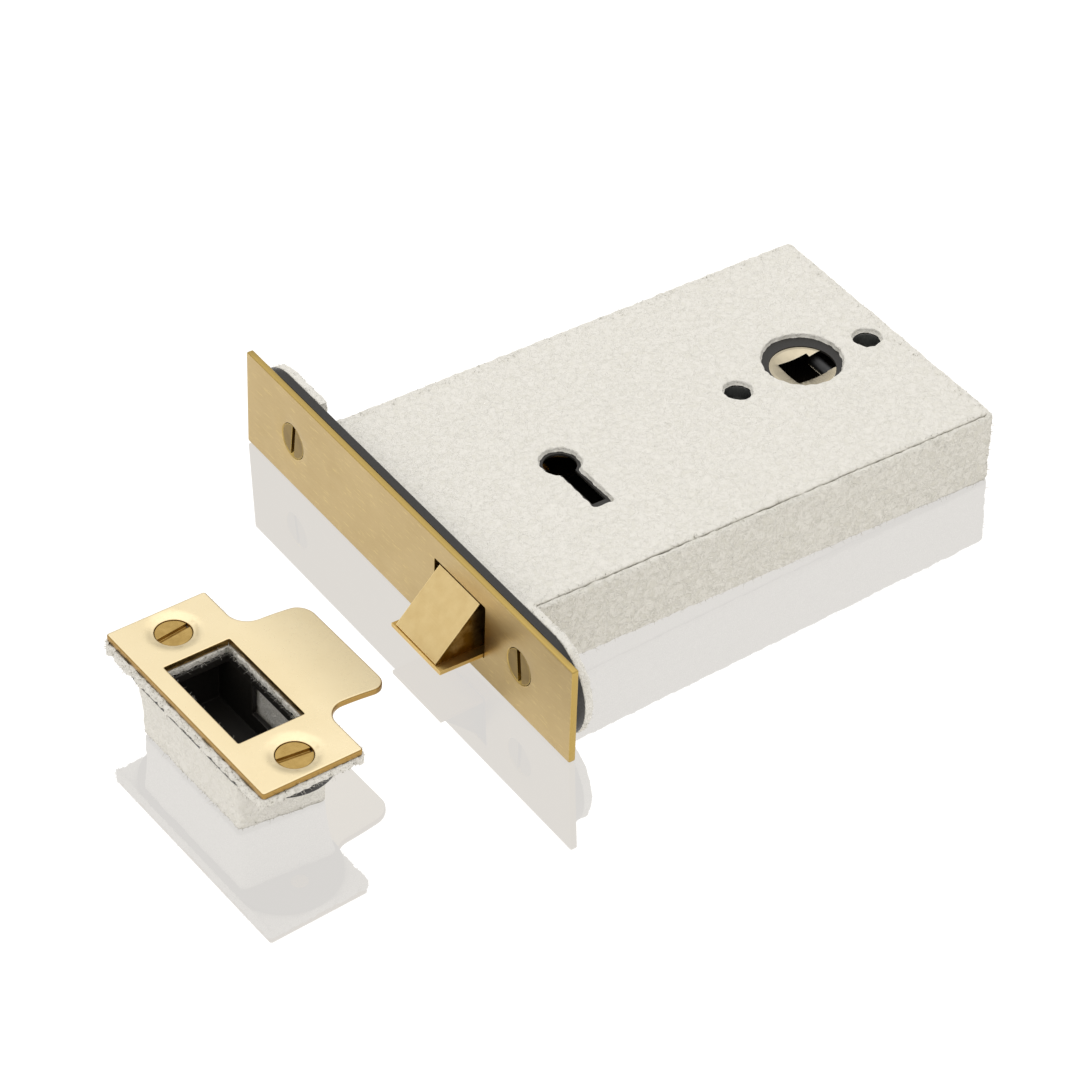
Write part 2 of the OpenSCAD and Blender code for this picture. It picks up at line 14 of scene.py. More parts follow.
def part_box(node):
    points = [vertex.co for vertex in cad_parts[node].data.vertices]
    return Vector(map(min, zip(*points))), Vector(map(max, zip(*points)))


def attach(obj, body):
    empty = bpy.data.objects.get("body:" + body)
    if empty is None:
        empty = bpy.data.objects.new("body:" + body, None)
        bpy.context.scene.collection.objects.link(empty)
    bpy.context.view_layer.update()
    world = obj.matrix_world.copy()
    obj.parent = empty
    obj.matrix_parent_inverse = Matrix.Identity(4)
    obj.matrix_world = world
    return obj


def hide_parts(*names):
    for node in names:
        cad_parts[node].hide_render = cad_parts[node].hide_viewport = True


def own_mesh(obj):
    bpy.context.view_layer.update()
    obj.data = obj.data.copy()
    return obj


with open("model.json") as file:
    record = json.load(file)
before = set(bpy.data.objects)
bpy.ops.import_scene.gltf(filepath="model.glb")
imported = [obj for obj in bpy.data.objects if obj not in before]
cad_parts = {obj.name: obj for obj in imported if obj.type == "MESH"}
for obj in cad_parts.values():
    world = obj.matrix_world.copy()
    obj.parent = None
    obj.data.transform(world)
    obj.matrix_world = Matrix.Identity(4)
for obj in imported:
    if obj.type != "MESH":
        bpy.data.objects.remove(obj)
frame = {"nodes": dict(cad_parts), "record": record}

LOG = logging.getLogger("mortise_lock")
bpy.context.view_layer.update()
MM = 0.001
SEED = 20

Point = tuple[float, float]
Loop = list[Point]
Profile = list[Point]


# ---------------------------------------------------------------- colours and shader nodes


def linear(code: str) -> tuple[float, float, float, float]:
    """Turn an sRGB hex colour into linear RGBA.

    Args:
        code: six hex digits, with or without a leading hash.

    Returns:
        Red, green and blue in linear light, and an alpha of 1.
    """
    code = code.lstrip("#")
    parts = [int(code[i:i + 2], 16) / 255 for i in (0, 2, 4)]
    flat = [c / 12.92 if c <= 0.04045 else ((c + 0.055) / 1.055) ** 2.4 for c in parts]
    return flat[0], flat[1], flat[2], 1.0


def add_node(tree: bpy.types.NodeTree, kind: str, inputs: dict | None = None,
             **settings: object) -> bpy.types.Node:
    """Add a shader node, set its properties and fill or link its inputs.

    Args:
        tree: the node tree that gets the node.
        kind: the node's type, such as "ShaderNodeBump".
        inputs: socket name or index to a value, or to an output socket to link.
        settings: properties of the node itself.

    Returns:
        The new node.
    """
    made = tree.nodes.new(kind)
    for name, value in settings.items():
        setattr(made, name, value)
    for key, value in (inputs or {}).items():
        socket = made.inputs[key]
        if isinstance(value, bpy.types.NodeSocket):
            tree.links.new(value, socket)
        else:
            socket.default_value = value
    return made


class Grain(Enum):
    """Which way a metal's brushing or rolling lines run, as a stretch of X, Y and Z."""

    ALONG_X = (0.02, 1.0, 1.0)
    ALONG_Y = (1.0, 0.02, 1.0)
    ALONG_Z = (1.0, 1.0, 0.02)
    NONE = (1.0, 1.0, 1.0)


@dataclass(frozen=True)
class Metal:
    """A bare or plated metal whose marks come from brushing, filing, turning or rolling.

    Two tones drift into each other over about a thumb's width, fine lines catch the light
    across the brushing, and the edges get a painted highlight, or a painted dark rim where
    the edge tone is darker than the tone.
    """

    name: str
    tone: str
    dark_tone: str
    edge_lighting_tone: str
    roughness: float
    grain: Grain = Grain.NONE
    line_mm: float = 0.35
    line_depth_mm: float = 0.01
    drift_mm: float = 14.0
    turned_about: tuple[float, float] | None = None
    side_shade_tone: str | None = None
    side_shade_axis: str = "Y"
    side_shade_faces_axis: bool = True
    edge_mm: float = 0.35
    scratched: float = 0.0

    def build(self) -> bpy.types.Material:
        """Make the material.

        Returns:
            A node material with the metal's colour, gloss and relief.
        """
        material = bpy.data.materials.new(self.name)
        material.use_nodes = True
        tree = material.node_tree
        tree.nodes.clear()
        place = add_node(tree, "ShaderNodeTexCoord").outputs["Object"]
        drift = add_node(tree, "ShaderNodeTexNoise", {
            "Vector": place, "Scale": 1 / (self.drift_mm * MM), "Detail": 3.0, "Roughness": 0.55})
        tones = add_node(tree, "ShaderNodeMix", {
            "Factor": drift.outputs["Fac"], "A": linear(self.dark_tone), "B": linear(self.tone)},
            data_type="RGBA")
        lines = self._lines(tree, place)
        edge = edge_mask(tree, self.edge_mm)
        # Painted highlight along the edges; where the edge tone is darker, a painted rim shade.
        bright = add_node(tree, "ShaderNodeMix", {
            "Factor": edge, "A": tones.outputs["Result"], "B": linear(self.edge_lighting_tone)},
            data_type="RGBA")
        if self.scratched:
            bright = self._scratches(tree, place, bright)
        # Painted shade on the faces that point one way, set per finish.
        if self.side_shade_tone is not None:
            bright = self._skin(tree, bright, drift)
        gloss = add_node(tree, "ShaderNodeMapRange", {
            "Value": lines, "From Min": 0.3, "From Max": 0.7,
            "To Min": self.roughness * 0.82, "To Max": self.roughness * 1.18})
        bump = add_node(tree, "ShaderNodeBump", {
            "Height": lines, "Strength": 0.7, "Distance": self.line_depth_mm * MM})
        shader = add_node(tree, "ShaderNodeBsdfPrincipled", {
            "Base Color": bright.outputs["Result"], "Metallic": 1.0,
            "Roughness": gloss.outputs["Result"], "Normal": bump.outputs["Normal"]})
        add_node(tree, "ShaderNodeOutputMaterial", {"Surface": shader.outputs["BSDF"]})
        return material

    def _scratches(self, tree: bpy.types.NodeTree, place: bpy.types.NodeSocket,
                   under: bpy.types.Node) -> bpy.types.Node:
        """Draw sparse, short, bright rubs along the plate.

        Args:
            tree: the material's node tree.
            place: position in the object's own space, in metres.
            under: the mix that gives the metal's colour.

        Returns:
            The mix with the rubs on it.
        """
        along = add_node(tree, "ShaderNodeMapping", {"Vector": place, "Scale": (1.0, 0.09, 1.0)})
        rubs = add_node(tree, "ShaderNodeTexNoise", {
            "Vector": along.outputs["Vector"], "Scale": 1 / (0.45 * MM), "Detail": 3.0,
            "Roughness": 0.7})
        mask = add_node(tree, "ShaderNodeMapRange", {
            "Value": rubs.outputs["Fac"], "From Min": 0.58, "From Max": 0.68,
            "To Max": self.scratched})
        return add_node(tree, "ShaderNodeMix", {
            "Factor": mask.outputs["Result"], "A": under.outputs["Result"],
            "B": linear(self.edge_lighting_tone)}, data_type="RGBA")

    def _skin(self, tree: bpy.types.NodeTree, under: bpy.types.Node,
              drift: bpy.types.Node) -> bpy.types.Node:
        """Paint shade on the faces that point one way: the latch's sides, a plate's side faces, the
        follower's walls.

        Args:
            tree: the material's node tree.
            under: the mix that gives the metal's colour.
            drift: the slow noise that breaks the tone up.

        Returns:
            The mix that gives the whole piece's colour.
        """
        facing = add_node(tree, "ShaderNodeSeparateXYZ", {
            "Vector": add_node(tree, "ShaderNodeTexCoord").outputs["Normal"]})
        side = add_node(tree, "ShaderNodeMath", {0: facing.outputs[self.side_shade_axis]},
                        operation="ABSOLUTE")
        thin = add_node(tree, "ShaderNodeMath", {0: drift.outputs["Fac"], 1: 0.35},
                        operation="MULTIPLY")
        left = add_node(tree, "ShaderNodeMath", {0: side.outputs["Value"],
                                                 1: thin.outputs["Value"]}, operation="SUBTRACT")
        start, end = (0.45, 0.85) if self.side_shade_faces_axis else (0.75, 0.55)
        mask = add_node(tree, "ShaderNodeMapRange", {
            "Value": left.outputs["Value"], "From Min": start, "From Max": end})
        return add_node(tree, "ShaderNodeMix", {
            "Factor": mask.outputs["Result"], "A": under.outputs["Result"],
            "B": linear(self.side_shade_tone)}, data_type="RGBA")

    def _lines(self, tree: bpy.types.NodeTree, place: bpy.types.NodeSocket
               ) -> bpy.types.NodeSocket:
        """Height of the tool marks: straight lines, or rings where the piece was turned.

        Args:
            tree: the material's node tree.
            place: position in the object's own space, in metres.

        Returns:
            A socket from 0 to 1.
        """
        if self.turned_about is not None:
            x, y = self.turned_about
            centred = add_node(tree, "ShaderNodeMapping", {
                "Vector": place, "Location": (-x, -y, 0.0)})
            rings = add_node(tree, "ShaderNodeTexWave", {
                "Vector": centred.outputs["Vector"], "Scale": 0.32 / (self.line_mm * MM),
                "Distortion": 0.4, "Detail": 2.0},
                wave_type="RINGS", rings_direction="Z")
            return rings.outputs["Fac"]
        stretched = add_node(tree, "ShaderNodeMapping", {
            "Vector": place, "Scale": self.grain.value})
        marks = add_node(tree, "ShaderNodeTexNoise", {
            "Vector": stretched.outputs["Vector"], "Scale": 1 / (self.line_mm * MM),
            "Detail": 4.0, "Roughness": 0.6})
        return marks.outputs["Fac"]


@dataclass(frozen=True)
class Paint:
    """Thin black stoving paint on pressed steel: even and satin, with a painted grey reflection
    along its edges.
    """

    name: str
    tone: str
    edge_reflection_tone: str
    roughness: float
    speck_mm: float = 0.5

    def build(self) -> bpy.types.Material:
        """Make the material.

        Returns:
            A node material of paint over steel.
        """
        material = bpy.data.materials.new(self.name)
        material.use_nodes = True
        tree = material.node_tree
        tree.nodes.clear()
        place = add_node(tree, "ShaderNodeTexCoord").outputs["Object"]
        specks = add_node(tree, "ShaderNodeTexNoise", {
            "Vector": place, "Scale": 1 / (self.speck_mm * MM), "Detail": 4.0, "Roughness": 0.6})
        edge = edge_mask(tree, 0.25)
        # Painted reflection: the edges go grey where the specks allow.
        edge_reflection_mask = add_node(tree, "ShaderNodeMath", {0: edge, 1: specks.outputs["Fac"]},
                        operation="MULTIPLY")
        tone = add_node(tree, "ShaderNodeMix", {
            "Factor": edge_reflection_mask.outputs["Value"], "A": linear(self.tone), "B": linear(self.edge_reflection_tone)},
            data_type="RGBA")
        gloss = add_node(tree, "ShaderNodeMapRange", {
            "Value": specks.outputs["Fac"], "From Min": 0.3, "From Max": 0.7,
            "To Min": self.roughness * 0.85, "To Max": self.roughness * 1.15})
        bump = add_node(tree, "ShaderNodeBump", {
            "Height": specks.outputs["Fac"], "Strength": 0.4, "Distance": 0.02 * MM})
        shader = add_node(tree, "ShaderNodeBsdfPrincipled", {
            "Base Color": tone.outputs["Result"], "Roughness": gloss.outputs["Result"],
            "IOR": 1.5, "Normal": bump.outputs["Normal"]})
        add_node(tree, "ShaderNodeOutputMaterial", {"Surface": shader.outputs["BSDF"]})
        return material


@dataclass(frozen=True)
class Felt:
    """White needled felt: matted curls of fibre, a soft wrinkled nap and no shine, with painted
    shade in the nap's hollows, holes and seams.
    """

    name: str
    tone: str
    hollow_tone: str
    shaded_tone: str
    nap_mm: float
    fibre_mm: float
    relief_mm: float = 0.45
    curl_share: float = 0.28

    def build(self) -> bpy.types.Material:
        """Make the material.

        Returns:
            A node material of matted fibre.
        """
        material = bpy.data.materials.new(self.name)
        material.use_nodes = True
        tree = material.node_tree
        tree.nodes.clear()
        place = add_node(tree, "ShaderNodeTexCoord").outputs["Object"]
        nap = add_node(tree, "ShaderNodeTexNoise", {
            "Vector": place, "Scale": 1 / (self.nap_mm * MM), "Detail": 3.0, "Roughness": 0.5,
            "Distortion": 1.6})
        curls = add_node(tree, "ShaderNodeTexNoise", {
            "Vector": place, "Scale": 1 / (self.fibre_mm * MM), "Detail": 2.0, "Roughness": 0.5,
            "Distortion": 1.2})
        off_middle = add_node(tree, "ShaderNodeMath", {0: curls.outputs["Fac"], 1: 0.5},
                              operation="SUBTRACT")
        folded = add_node(tree, "ShaderNodeMath", {0: off_middle.outputs["Value"]},
                          operation="ABSOLUTE")
        fibre = add_node(tree, "ShaderNodeMapRange", {
            "Value": folded.outputs["Value"], "From Min": 0.13, "From Max": 0.0})
        height = add_node(tree, "ShaderNodeMix", {
            "Factor": self.curl_share, "A": nap.outputs["Fac"], "B": fibre.outputs["Result"]})
        # Painted shade: the nap's low places take the darker hollow tone.
        shade = add_node(tree, "ShaderNodeMapRange", {
            "Value": height.outputs["Result"], "From Min": 0.3, "From Max": 0.56})
        tone = add_node(tree, "ShaderNodeMix", {
            "Factor": shade.outputs["Result"], "A": linear(self.hollow_tone),
            "B": linear(self.tone)}, data_type="RGBA")
        # Painted shade: an occlusion mask darkens holes, seams and creases to the shaded tone.
        open_sky = add_node(tree, "ShaderNodeAmbientOcclusion", {"Distance": 2.2 * MM}, samples=6)
        recess = add_node(tree, "ShaderNodeMapRange", {
            "Value": open_sky.outputs["AO"], "From Min": 0.35, "From Max": 0.8})
        occlusion_shade = add_node(tree, "ShaderNodeMix", {
            "Factor": recess.outputs["Result"], "A": linear(self.shaded_tone),
            "B": tone.outputs["Result"]}, data_type="RGBA")
        bump = add_node(tree, "ShaderNodeBump", {
            "Height": height.outputs["Result"], "Strength": 0.8,
            "Distance": self.relief_mm * MM})
        shader = add_node(tree, "ShaderNodeBsdfPrincipled", {
            "Base Color": occlusion_shade.outputs["Result"], "Roughness": 0.95, "Specular IOR Level": 0.2,
            "Sheen Weight": 0.12, "Sheen Roughness": 0.6, "Normal": bump.outputs["Normal"]})
        add_node(tree, "ShaderNodeOutputMaterial", {"Surface": shader.outputs["BSDF"]})
        return material


@dataclass(frozen=True)
class Gloss:
    """Light table: white glass lit from below, with a clear partial mirror image in it."""

    name: str
    mirror_tone: str
    glow_tone: str
    glow: float
    roughness: float

    def build(self) -> bpy.types.Material:
        """Make the material.

        Returns:
            A plain glossy material that glows.
        """
        material = bpy.data.materials.new(self.name)
        material.use_nodes = True
        shader = material.node_tree.nodes["Principled BSDF"]
        shader.inputs["Base Color"].default_value = linear(self.mirror_tone)
        shader.inputs["Metallic"].default_value = 1.0
        shader.inputs["Roughness"].default_value = self.roughness
        shader.inputs["Emission Color"].default_value = linear(self.glow_tone)
        shader.inputs["Emission Strength"].default_value = self.glow
        return material


def edge_mask(tree: bpy.types.NodeTree, width_mm: float) -> bpy.types.NodeSocket:
    """Mask of a piece's edges, where painted highlights, reflections and rim shade go.

    Args:
        tree: the material's node tree.
        width_mm: how far the painted edge light reaches from an edge.

    Returns:
        A socket that is 1 on an edge and 0 on open surfaces.
    """
    rounded = add_node(tree, "ShaderNodeBevel", {"Radius": width_mm * MM}, samples=4)
    true = add_node(tree, "ShaderNodeNewGeometry")
    same = add_node(tree, "ShaderNodeVectorMath", {
        0: rounded.outputs["Normal"], 1: true.outputs["Normal"]}, operation="DOT_PRODUCT")
    mask = add_node(tree, "ShaderNodeMapRange", {
        "Value": same.outputs["Value"], "From Min": 0.99, "From Max": 0.85})
    return mask.outputs["Result"]


# Lacquered brass plate, brushed lengthways: a warm tan with fine lines, a painted golden highlight
# on its edges and painted golden shade on its side faces.
BRUSHED_BRASS = Metal("brushed_lacquered_brass", "#BFA878", "#AF9765", "#DCC684", 0.36,
                      Grain.ALONG_Y, 0.22, 0.012, side_shade_tone="#B59A58", side_shade_axis="X",
                      side_shade_faces_axis=False, edge_mm=0.25, scratched=0.5)
# Satin brass sheet: paler, with hardly any lines, and painted darker golden shade on its edges and
# side faces.
SATIN_BRASS = Metal("satin_brass_sheet", "#EDDDB8", "#DFCCA2", "#C4A468", 0.32,
                    Grain.NONE, 0.7, 0.003, 20.0, side_shade_tone="#A5844A", side_shade_axis="Z",
                    side_shade_faces_axis=False, edge_mm=0.45)
# Turned brass screws: deeper yellow, with fine facing marks across the head.
SCREW_BRASS = Metal("turned_brass", "#927A40", "#6E5828", "#BFA45C", 0.33,
                    Grain.ALONG_Z, 0.12, 0.008, 3.0)
# The strike's screws: the same brass in a lighter tone, with a painted dark rim on the edges.
STRIKE_SCREW_BRASS = Metal("fresh_turned_brass", "#C4A566", "#94763C", "#8A6A30", 0.3,
                           Grain.ALONG_X, 0.12, 0.008, 2.0, edge_mm=0.3)
# Filed cast brass of the latch: cross-brushed and patchy, with painted dark brown shade on its
# sides.
LATCH_BRASS = Metal("filed_cast_brass", "#EBD29A", "#D6B87E", "#F0DCA2", 0.34,
                    Grain.ALONG_Y, 0.26, 0.03, 3.0, side_shade_tone="#66490F")
# Rolled brass strip of the flat bolt.
BOLT_BRASS = Metal("rolled_brass_strip", "#D6B876", "#BC9A5A", "#E8CE88", 0.33,
                   Grain.ALONG_X, 0.2, 0.008, 8.0)
# Stamped brass sheet of the levers.
LEVER_BRASS = Metal("stamped_brass_sheet", "#C9A75F", "#B28D48", "#E2C880", 0.4,
                    Grain.ALONG_X, 0.25, 0.008, 9.0)
# Zinc-plated mild steel: cool grey with a faint rolling grain.
ZINC_STEEL = Metal("zinc_plated_steel", "#A9AAA8", "#8E8F8E", "#C6C7C6", 0.38,
                   Grain.ALONG_X, 0.3, 0.008, 7.0)
# Drawn spring wire and strip: darker and glossier, with lines along the draw.
SPRING_STEEL = Metal("drawn_spring_steel", "#86878A", "#6A6B6E", "#A8A9AB", 0.3,
                     Grain.ALONG_X, 0.12, 0.006, 3.0)
# Nickel plate over a turned boss: warm white with rings from the lathe, painted dark shade on its
# walls and outer side.
NICKEL = Metal("turned_nickel_plate", "#CFC4AC", "#A99D84", "#F0E8D4", 0.24,
               Grain.NONE, 0.3, 0.012, 5.0, (0.1112, -0.002), side_shade_tone="#3A352E",
               side_shade_axis="Z", side_shade_faces_axis=False, edge_mm=0.2)
# Oil-blackened bar: near black, with a dull shine.
DARK_PIN = Metal("oil_blackened_steel", "#4A4A4A", "#343434", "#6C6C6C", 0.42,
                 Grain.ALONG_Y, 0.3, 0.01, 3.0)
# Stoved black paint on the pressed steel of case, forend and box, with a painted grey reflection on
# its edges.
BLACK_STEEL = Paint("black_stoved_steel", "#1E1B17", "#5A5348", 0.5)
# Needled felt of the fire liner.
FELT = Felt("needled_white_felt", "#E6E2D9", "#DEDACF", "#8F8A7A", 2.4, 1.5)
# The same felt teased up round the case's edge: coarser curls, and a greyer tone that is painted
# shade on its upright sides.
EDGE_FELT = Felt("teased_white_felt", "#E1DDD3", "#D5D1C5", "#8F8A7A", 2.0, 1.9, 0.55, 0.36)
# Floor of the light table.
LIGHT_TABLE = Gloss("white_light_table", "#595959", "#FFFCF8", 0.68, 0.03)

FINISHES: dict[str, Metal | Paint | Felt] = {
    "brushed_brass": BRUSHED_BRASS,
    "satin_brass": SATIN_BRASS,
    "screw_brass": SCREW_BRASS,
    "latch_brass": LATCH_BRASS,
    "bolt_brass": BOLT_BRASS,
    "lever_brass": LEVER_BRASS,
    "bright_steel": ZINC_STEEL,
    "spring_steel": SPRING_STEEL,
    "nickel": NICKEL,
    "dark_pin": DARK_PIN,
    "black_steel": BLACK_STEEL,
    "felt": FELT,
}


@dataclass
class Paintbox:
    """Makes each slot's material once and hands it out."""

    made: dict[str, bpy.types.Material] = field(default_factory=dict)
    own_finish: dict[str, Metal | Felt] = field(default_factory=lambda: {
        "strike_screws": STRIKE_SCREW_BRASS, "liner_edge": EDGE_FELT})

    def get(self, slot: str, node: str = "") -> bpy.types.Material:
        """Return the material of one of the record's slots.

        Args:
            slot: the slot's name.
            node: the node that gets it, in case it has a finish of its own.

        Returns:
            The material, made on first use.
        """
        finish = self.own_finish.get(node, FINISHES[slot])
        if finish.name not in self.made:
            self.made[finish.name] = finish.build()
        return self.made[finish.name]


# ---------------------------------------------------------------- outlines


def arc(centre: Point, radius: float, start: float, end: float, step: float) -> Loop:
    """Points along an arc, both ends included.

    Args:
        centre: centre of the arc.
        radius: its radius.
        start: first angle, in degrees.
        end: last angle, in degrees.
        step: about how far apart the points are.

    Returns:
        The points in order from start to end.
    """
    count = max(3, math.ceil(math.radians(abs(end - start)) * radius / step))
    angles = [math.radians(start + (end - start) * i / count) for i in range(count + 1)]
    return [(centre[0] + radius * math.cos(a), centre[1] + radius * math.sin(a)) for a in angles]


def ring(centre: Point, radius: float, step: float) -> Loop:
    """A closed circle, anticlockwise."""
    return arc(centre, radius, 0, 360, step)[:-1]


def rounded_box(low: Point, high: Point, radius: float, step: float) -> Loop:
    """A rectangle with rounded corners, anticlockwise.

    Args:
        low: lowest corner.
        high: highest corner.
        radius: corner radius.
        step: about how far apart the points are.

    Returns:
        A closed loop.
    """
    (x0, y0), (x1, y1) = low, high
    fine = min(step, radius / 2)
    corners = [((x1 - radius, y0 + radius), -90), ((x1 - radius, y1 - radius), 0),
               ((x0 + radius, y1 - radius), 90), ((x0 + radius, y0 + radius), 180)]
    loop: Loop = []
    for centre, angle in corners:
        loop += arc(centre, radius, angle, angle + 90, fine)
    return fill_sides(loop, step)


def fill_sides(loop: Loop, step: float) -> Loop:
    """Add points along a closed loop's long sides.

    Args:
        loop: the loop.
        step: the longest side that stays.

    Returns:
        The same outline with more points.
    """
    out: Loop = []
    for (x0, y0), (x1, y1) in zip(loop, loop[1:] + loop[:1]):
        length = math.hypot(x1 - x0, y1 - y0)
        if length < 1e-7:
            continue
        parts = max(1, round(length / step))
        out += [(x0 + (x1 - x0) * i / parts, y0 + (y1 - y0) * i / parts) for i in range(parts)]
    return out


def inset(loop: Loop, distance: float, calm: int = 0) -> Loop:
    """Move a closed anticlockwise loop inward along its own normals.

    Args:
        loop: the loop.
        distance: how far, negative to grow it.
        calm: how many times the shifts are averaged, so that a ragged loop doesn't cross itself.

    Returns:
        The moved loop, point for point.
    """
    shifts: list[Vector] = []
    count = len(loop)
    for i, (x, y) in enumerate(loop):
        before, after = loop[i - 1], loop[(i + 1) % count]
        a = Vector((x - before[0], y - before[1])).normalized()
        b = Vector((after[0] - x, after[1] - y)).normalized()
        normal = Vector((-a.y - b.y, a.x + b.x))
        if normal.length < 1e-9:
            normal = Vector((-a.y, a.x))
        normal.normalize()
        shifts.append(normal * (distance / max(0.5, normal.dot(Vector((-a.y, a.x))))))
    for _ in range(calm):
        shifts = [(shifts[i - 1] + 2 * shifts[i] + shifts[(i + 1) % count]) / 4
                  for i in range(count)]
    return [(x + shift.x, y + shift.y) for (x, y), shift in zip(loop, shifts)]


def inside(point: Point, loop: Loop) -> bool:
    """Whether a point lies inside a closed loop."""
    x, y = point
    hit = False
    for (x0, y0), (x1, y1) in zip(loop, loop[1:] + loop[:1]):
        if (y0 > y) != (y1 > y) and x < (x1 - x0) * (y - y0) / (y1 - y0) + x0:
            hit = not hit
    return hit


def soft_rim(top: float, low: float, edge: float, steps: int = 3) -> Profile:
    """Side of a plate whose two edges are rounded.

    Args:
        top: height of the upper face.
        low: height of the lower face.
        edge: radius of both edges.
        steps: segments in each rounding.

    Returns:
        Inset and height of each row of points, from the upper face to the lower.
    """
    turn = [math.pi / 2 * i / steps for i in range(steps + 1)]
    upper = [(edge * (1 - math.sin(a)), top - edge * (1 - math.cos(a))) for a in turn]
    lower = [(edge * (1 - math.cos(a)), low + edge * (1 - math.sin(a))) for a in turn]
    return [(edge * 1.3, top)] + upper + lower + [(edge * 1.3, low)]


# ---------------------------------------------------------------- meshes


@dataclass
class Solid:
    """Vertices and faces under construction, in metres in the lock's own frame."""

    points: list[Vector] = field(default_factory=list)
    faces: list[tuple[int, ...]] = field(default_factory=list)

    def strip(self, row_a: Sequence[int], row_b: Sequence[int], closed: bool) -> None:
        """Join two rows of points with four-sided faces.

        Args:
            row_a: indices of the first row.
            row_b: indices of the second row, as many.
            closed: whether the last point joins the first.
        """
        count = len(row_a)
        for i in range(count if closed else count - 1):
            k = (i + 1) % count
            self.faces.append((row_a[i], row_a[k], row_b[k], row_b[i]))

    def add(self, points: Iterable[Vector]) -> list[int]:
        """Add points and return their indices."""
        start = len(self.points)
        self.points += points
        return list(range(start, len(self.points)))

    def roughen(self, relief: Callable[[Vector, Vector], float]) -> None:
        """Move every point along its normal.

        Args:
            relief: from a point and its normal, how far it moves out, in metres.
        """
        mesh = bpy.data.meshes.new("relief")
        mesh.from_pydata(self.points, [], self.faces)
        normals = [v.normal.copy() for v in mesh.vertices]
        self.points = [p + n * relief(p, n) for p, n in zip(self.points, normals)]
        bpy.data.meshes.remove(mesh)

    def piece(self, name: str, material: bpy.types.Material) -> bpy.types.Object:
        """Make the Blender object, with its faces turned outward.

        Args:
            name: the piece's name.
            material: its finish.

        Returns:
            A mesh object at the origin.
        """
        mesh = bpy.data.meshes.new(name)
        mesh.from_pydata(self.points, [], self.faces)
        work = bmesh.new()
        work.from_mesh(mesh)
        bmesh.ops.recalc_face_normals(work, faces=work.faces)
        work.to_mesh(mesh)
        work.free()
        mesh.shade_smooth()
        mesh.set_sharp_from_angle(angle=math.radians(42))
        mesh.materials.append(material)
        made = bpy.data.objects.new(name, mesh)
        bpy.context.scene.collection.objects.link(made)
        return made


@dataclass
class Plate:
    """A flat sheet from an outline and holes, with shaped rims and a dense, bendable skin."""

    outline: Loop
    rim: Profile
    holes: list[tuple[Loop, Profile]] = field(default_factory=list)
    spacing: float = 2.0 * MM
    place: Callable[[float, float, float], Vector] = lambda u, v, w: Vector((u, v, w))
    calm: int = 0

    def build(self) -> Solid:
        """Build the sheet.

        Returns:
            A closed solid.
        """
        solid = Solid()
        rims = [self._rows(solid, self.outline, self.rim, 1.0)]
        for loop, profile in self.holes:
            rims.append(self._rows(solid, loop, profile, -1.0))
        self._skin(solid, [(loops[0], rows[0]) for loops, rows in rims], self.rim[0][1])
        self._skin(solid, [(loops[-1], rows[-1]) for loops, rows in rims], self.rim[-1][1])
        return solid

    def _rows(self, solid: Solid, loop: Loop, profile: Profile, way: float
              ) -> tuple[list[Loop], list[list[int]]]:
        """Lay a rim's rows of points and join them.

        Args:
            solid: the solid that gets them.
            loop: the rim's outline.
            profile: inset and height of each row.
            way: 1 for the outline, -1 for a hole, whose inset grows it.

        Returns:
            Each row as a loop, and as point indices.
        """
        loops = [inset(loop, way * amount, self.calm) for amount, _ in profile]
        rows = [solid.add(self.place(u, v, height) for u, v in flat)
                for flat, (_, height) in zip(loops, profile)]
        for a, b in zip(rows, rows[1:]):
            solid.strip(a, b, closed=True)
        return loops, rows

    def _skin(self, solid: Solid, bounds: list[tuple[Loop, list[int]]], height: float) -> None:
        """Cover one face with triangles between its outline and its holes.

        Args:
            solid: the solid that gets them.
            bounds: the outline and then the holes, as loops and point indices.
            height: the face's height.
        """
        flat: list[Vector] = []
        index: list[int] = []
        edges: list[tuple[int, int]] = []
        for loop, row in bounds:
            start = len(flat)
            flat += [Vector(p) for p in loop]
            index += row
            edges += [(start + i, start + (i + 1) % len(loop)) for i in range(len(loop))]
        grid = self._grid([loop for loop, _ in bounds])
        flat += [Vector(p) for p in grid]
        index += solid.add(self.place(u, v, height) for u, v in grid)
        points, _, faces, origin, _, _ = geometry.delaunay_2d_cdt(flat, edges, [], 0, 1e-9)
        outer = bounds[0][0]
        for face in faces:
            centre = sum((points[i] for i in face), Vector((0, 0))) / 3
            if not inside(centre, outer) or any(inside(centre, h) for h, _ in bounds[1:]):
                continue
            if all(origin[i] for i in face):
                solid.faces.append(tuple(index[origin[i][0]] for i in face))
            else:
                LOG.warning("a rim crosses itself near %s", centre)

    def _grid(self, loops: list[Loop]) -> Loop:
        """Points that fill a face, clear of its rims.

        Args:
            loops: the outline and then the holes.

        Returns:
            The points.
        """
        step = self.spacing
        keep_off = [inset(loops[0], 0.6 * step)] + [inset(h, -0.6 * step) for h in loops[1:]]
        xs, ys = zip(*loops[0])
        out: Loop = []
        rows = int((max(ys) - min(ys)) / (step * 0.87))
        for r in range(1, rows + 1):
            y = min(ys) + r * step * 0.87
            x = min(xs) + (0.5 * step if r % 2 else step)
            while x < max(xs):
                point = (x, y)
                if inside(point, keep_off[0]) and not any(inside(point, h) for h in keep_off[1:]):
                    out.append(point)
                x += step
        return out


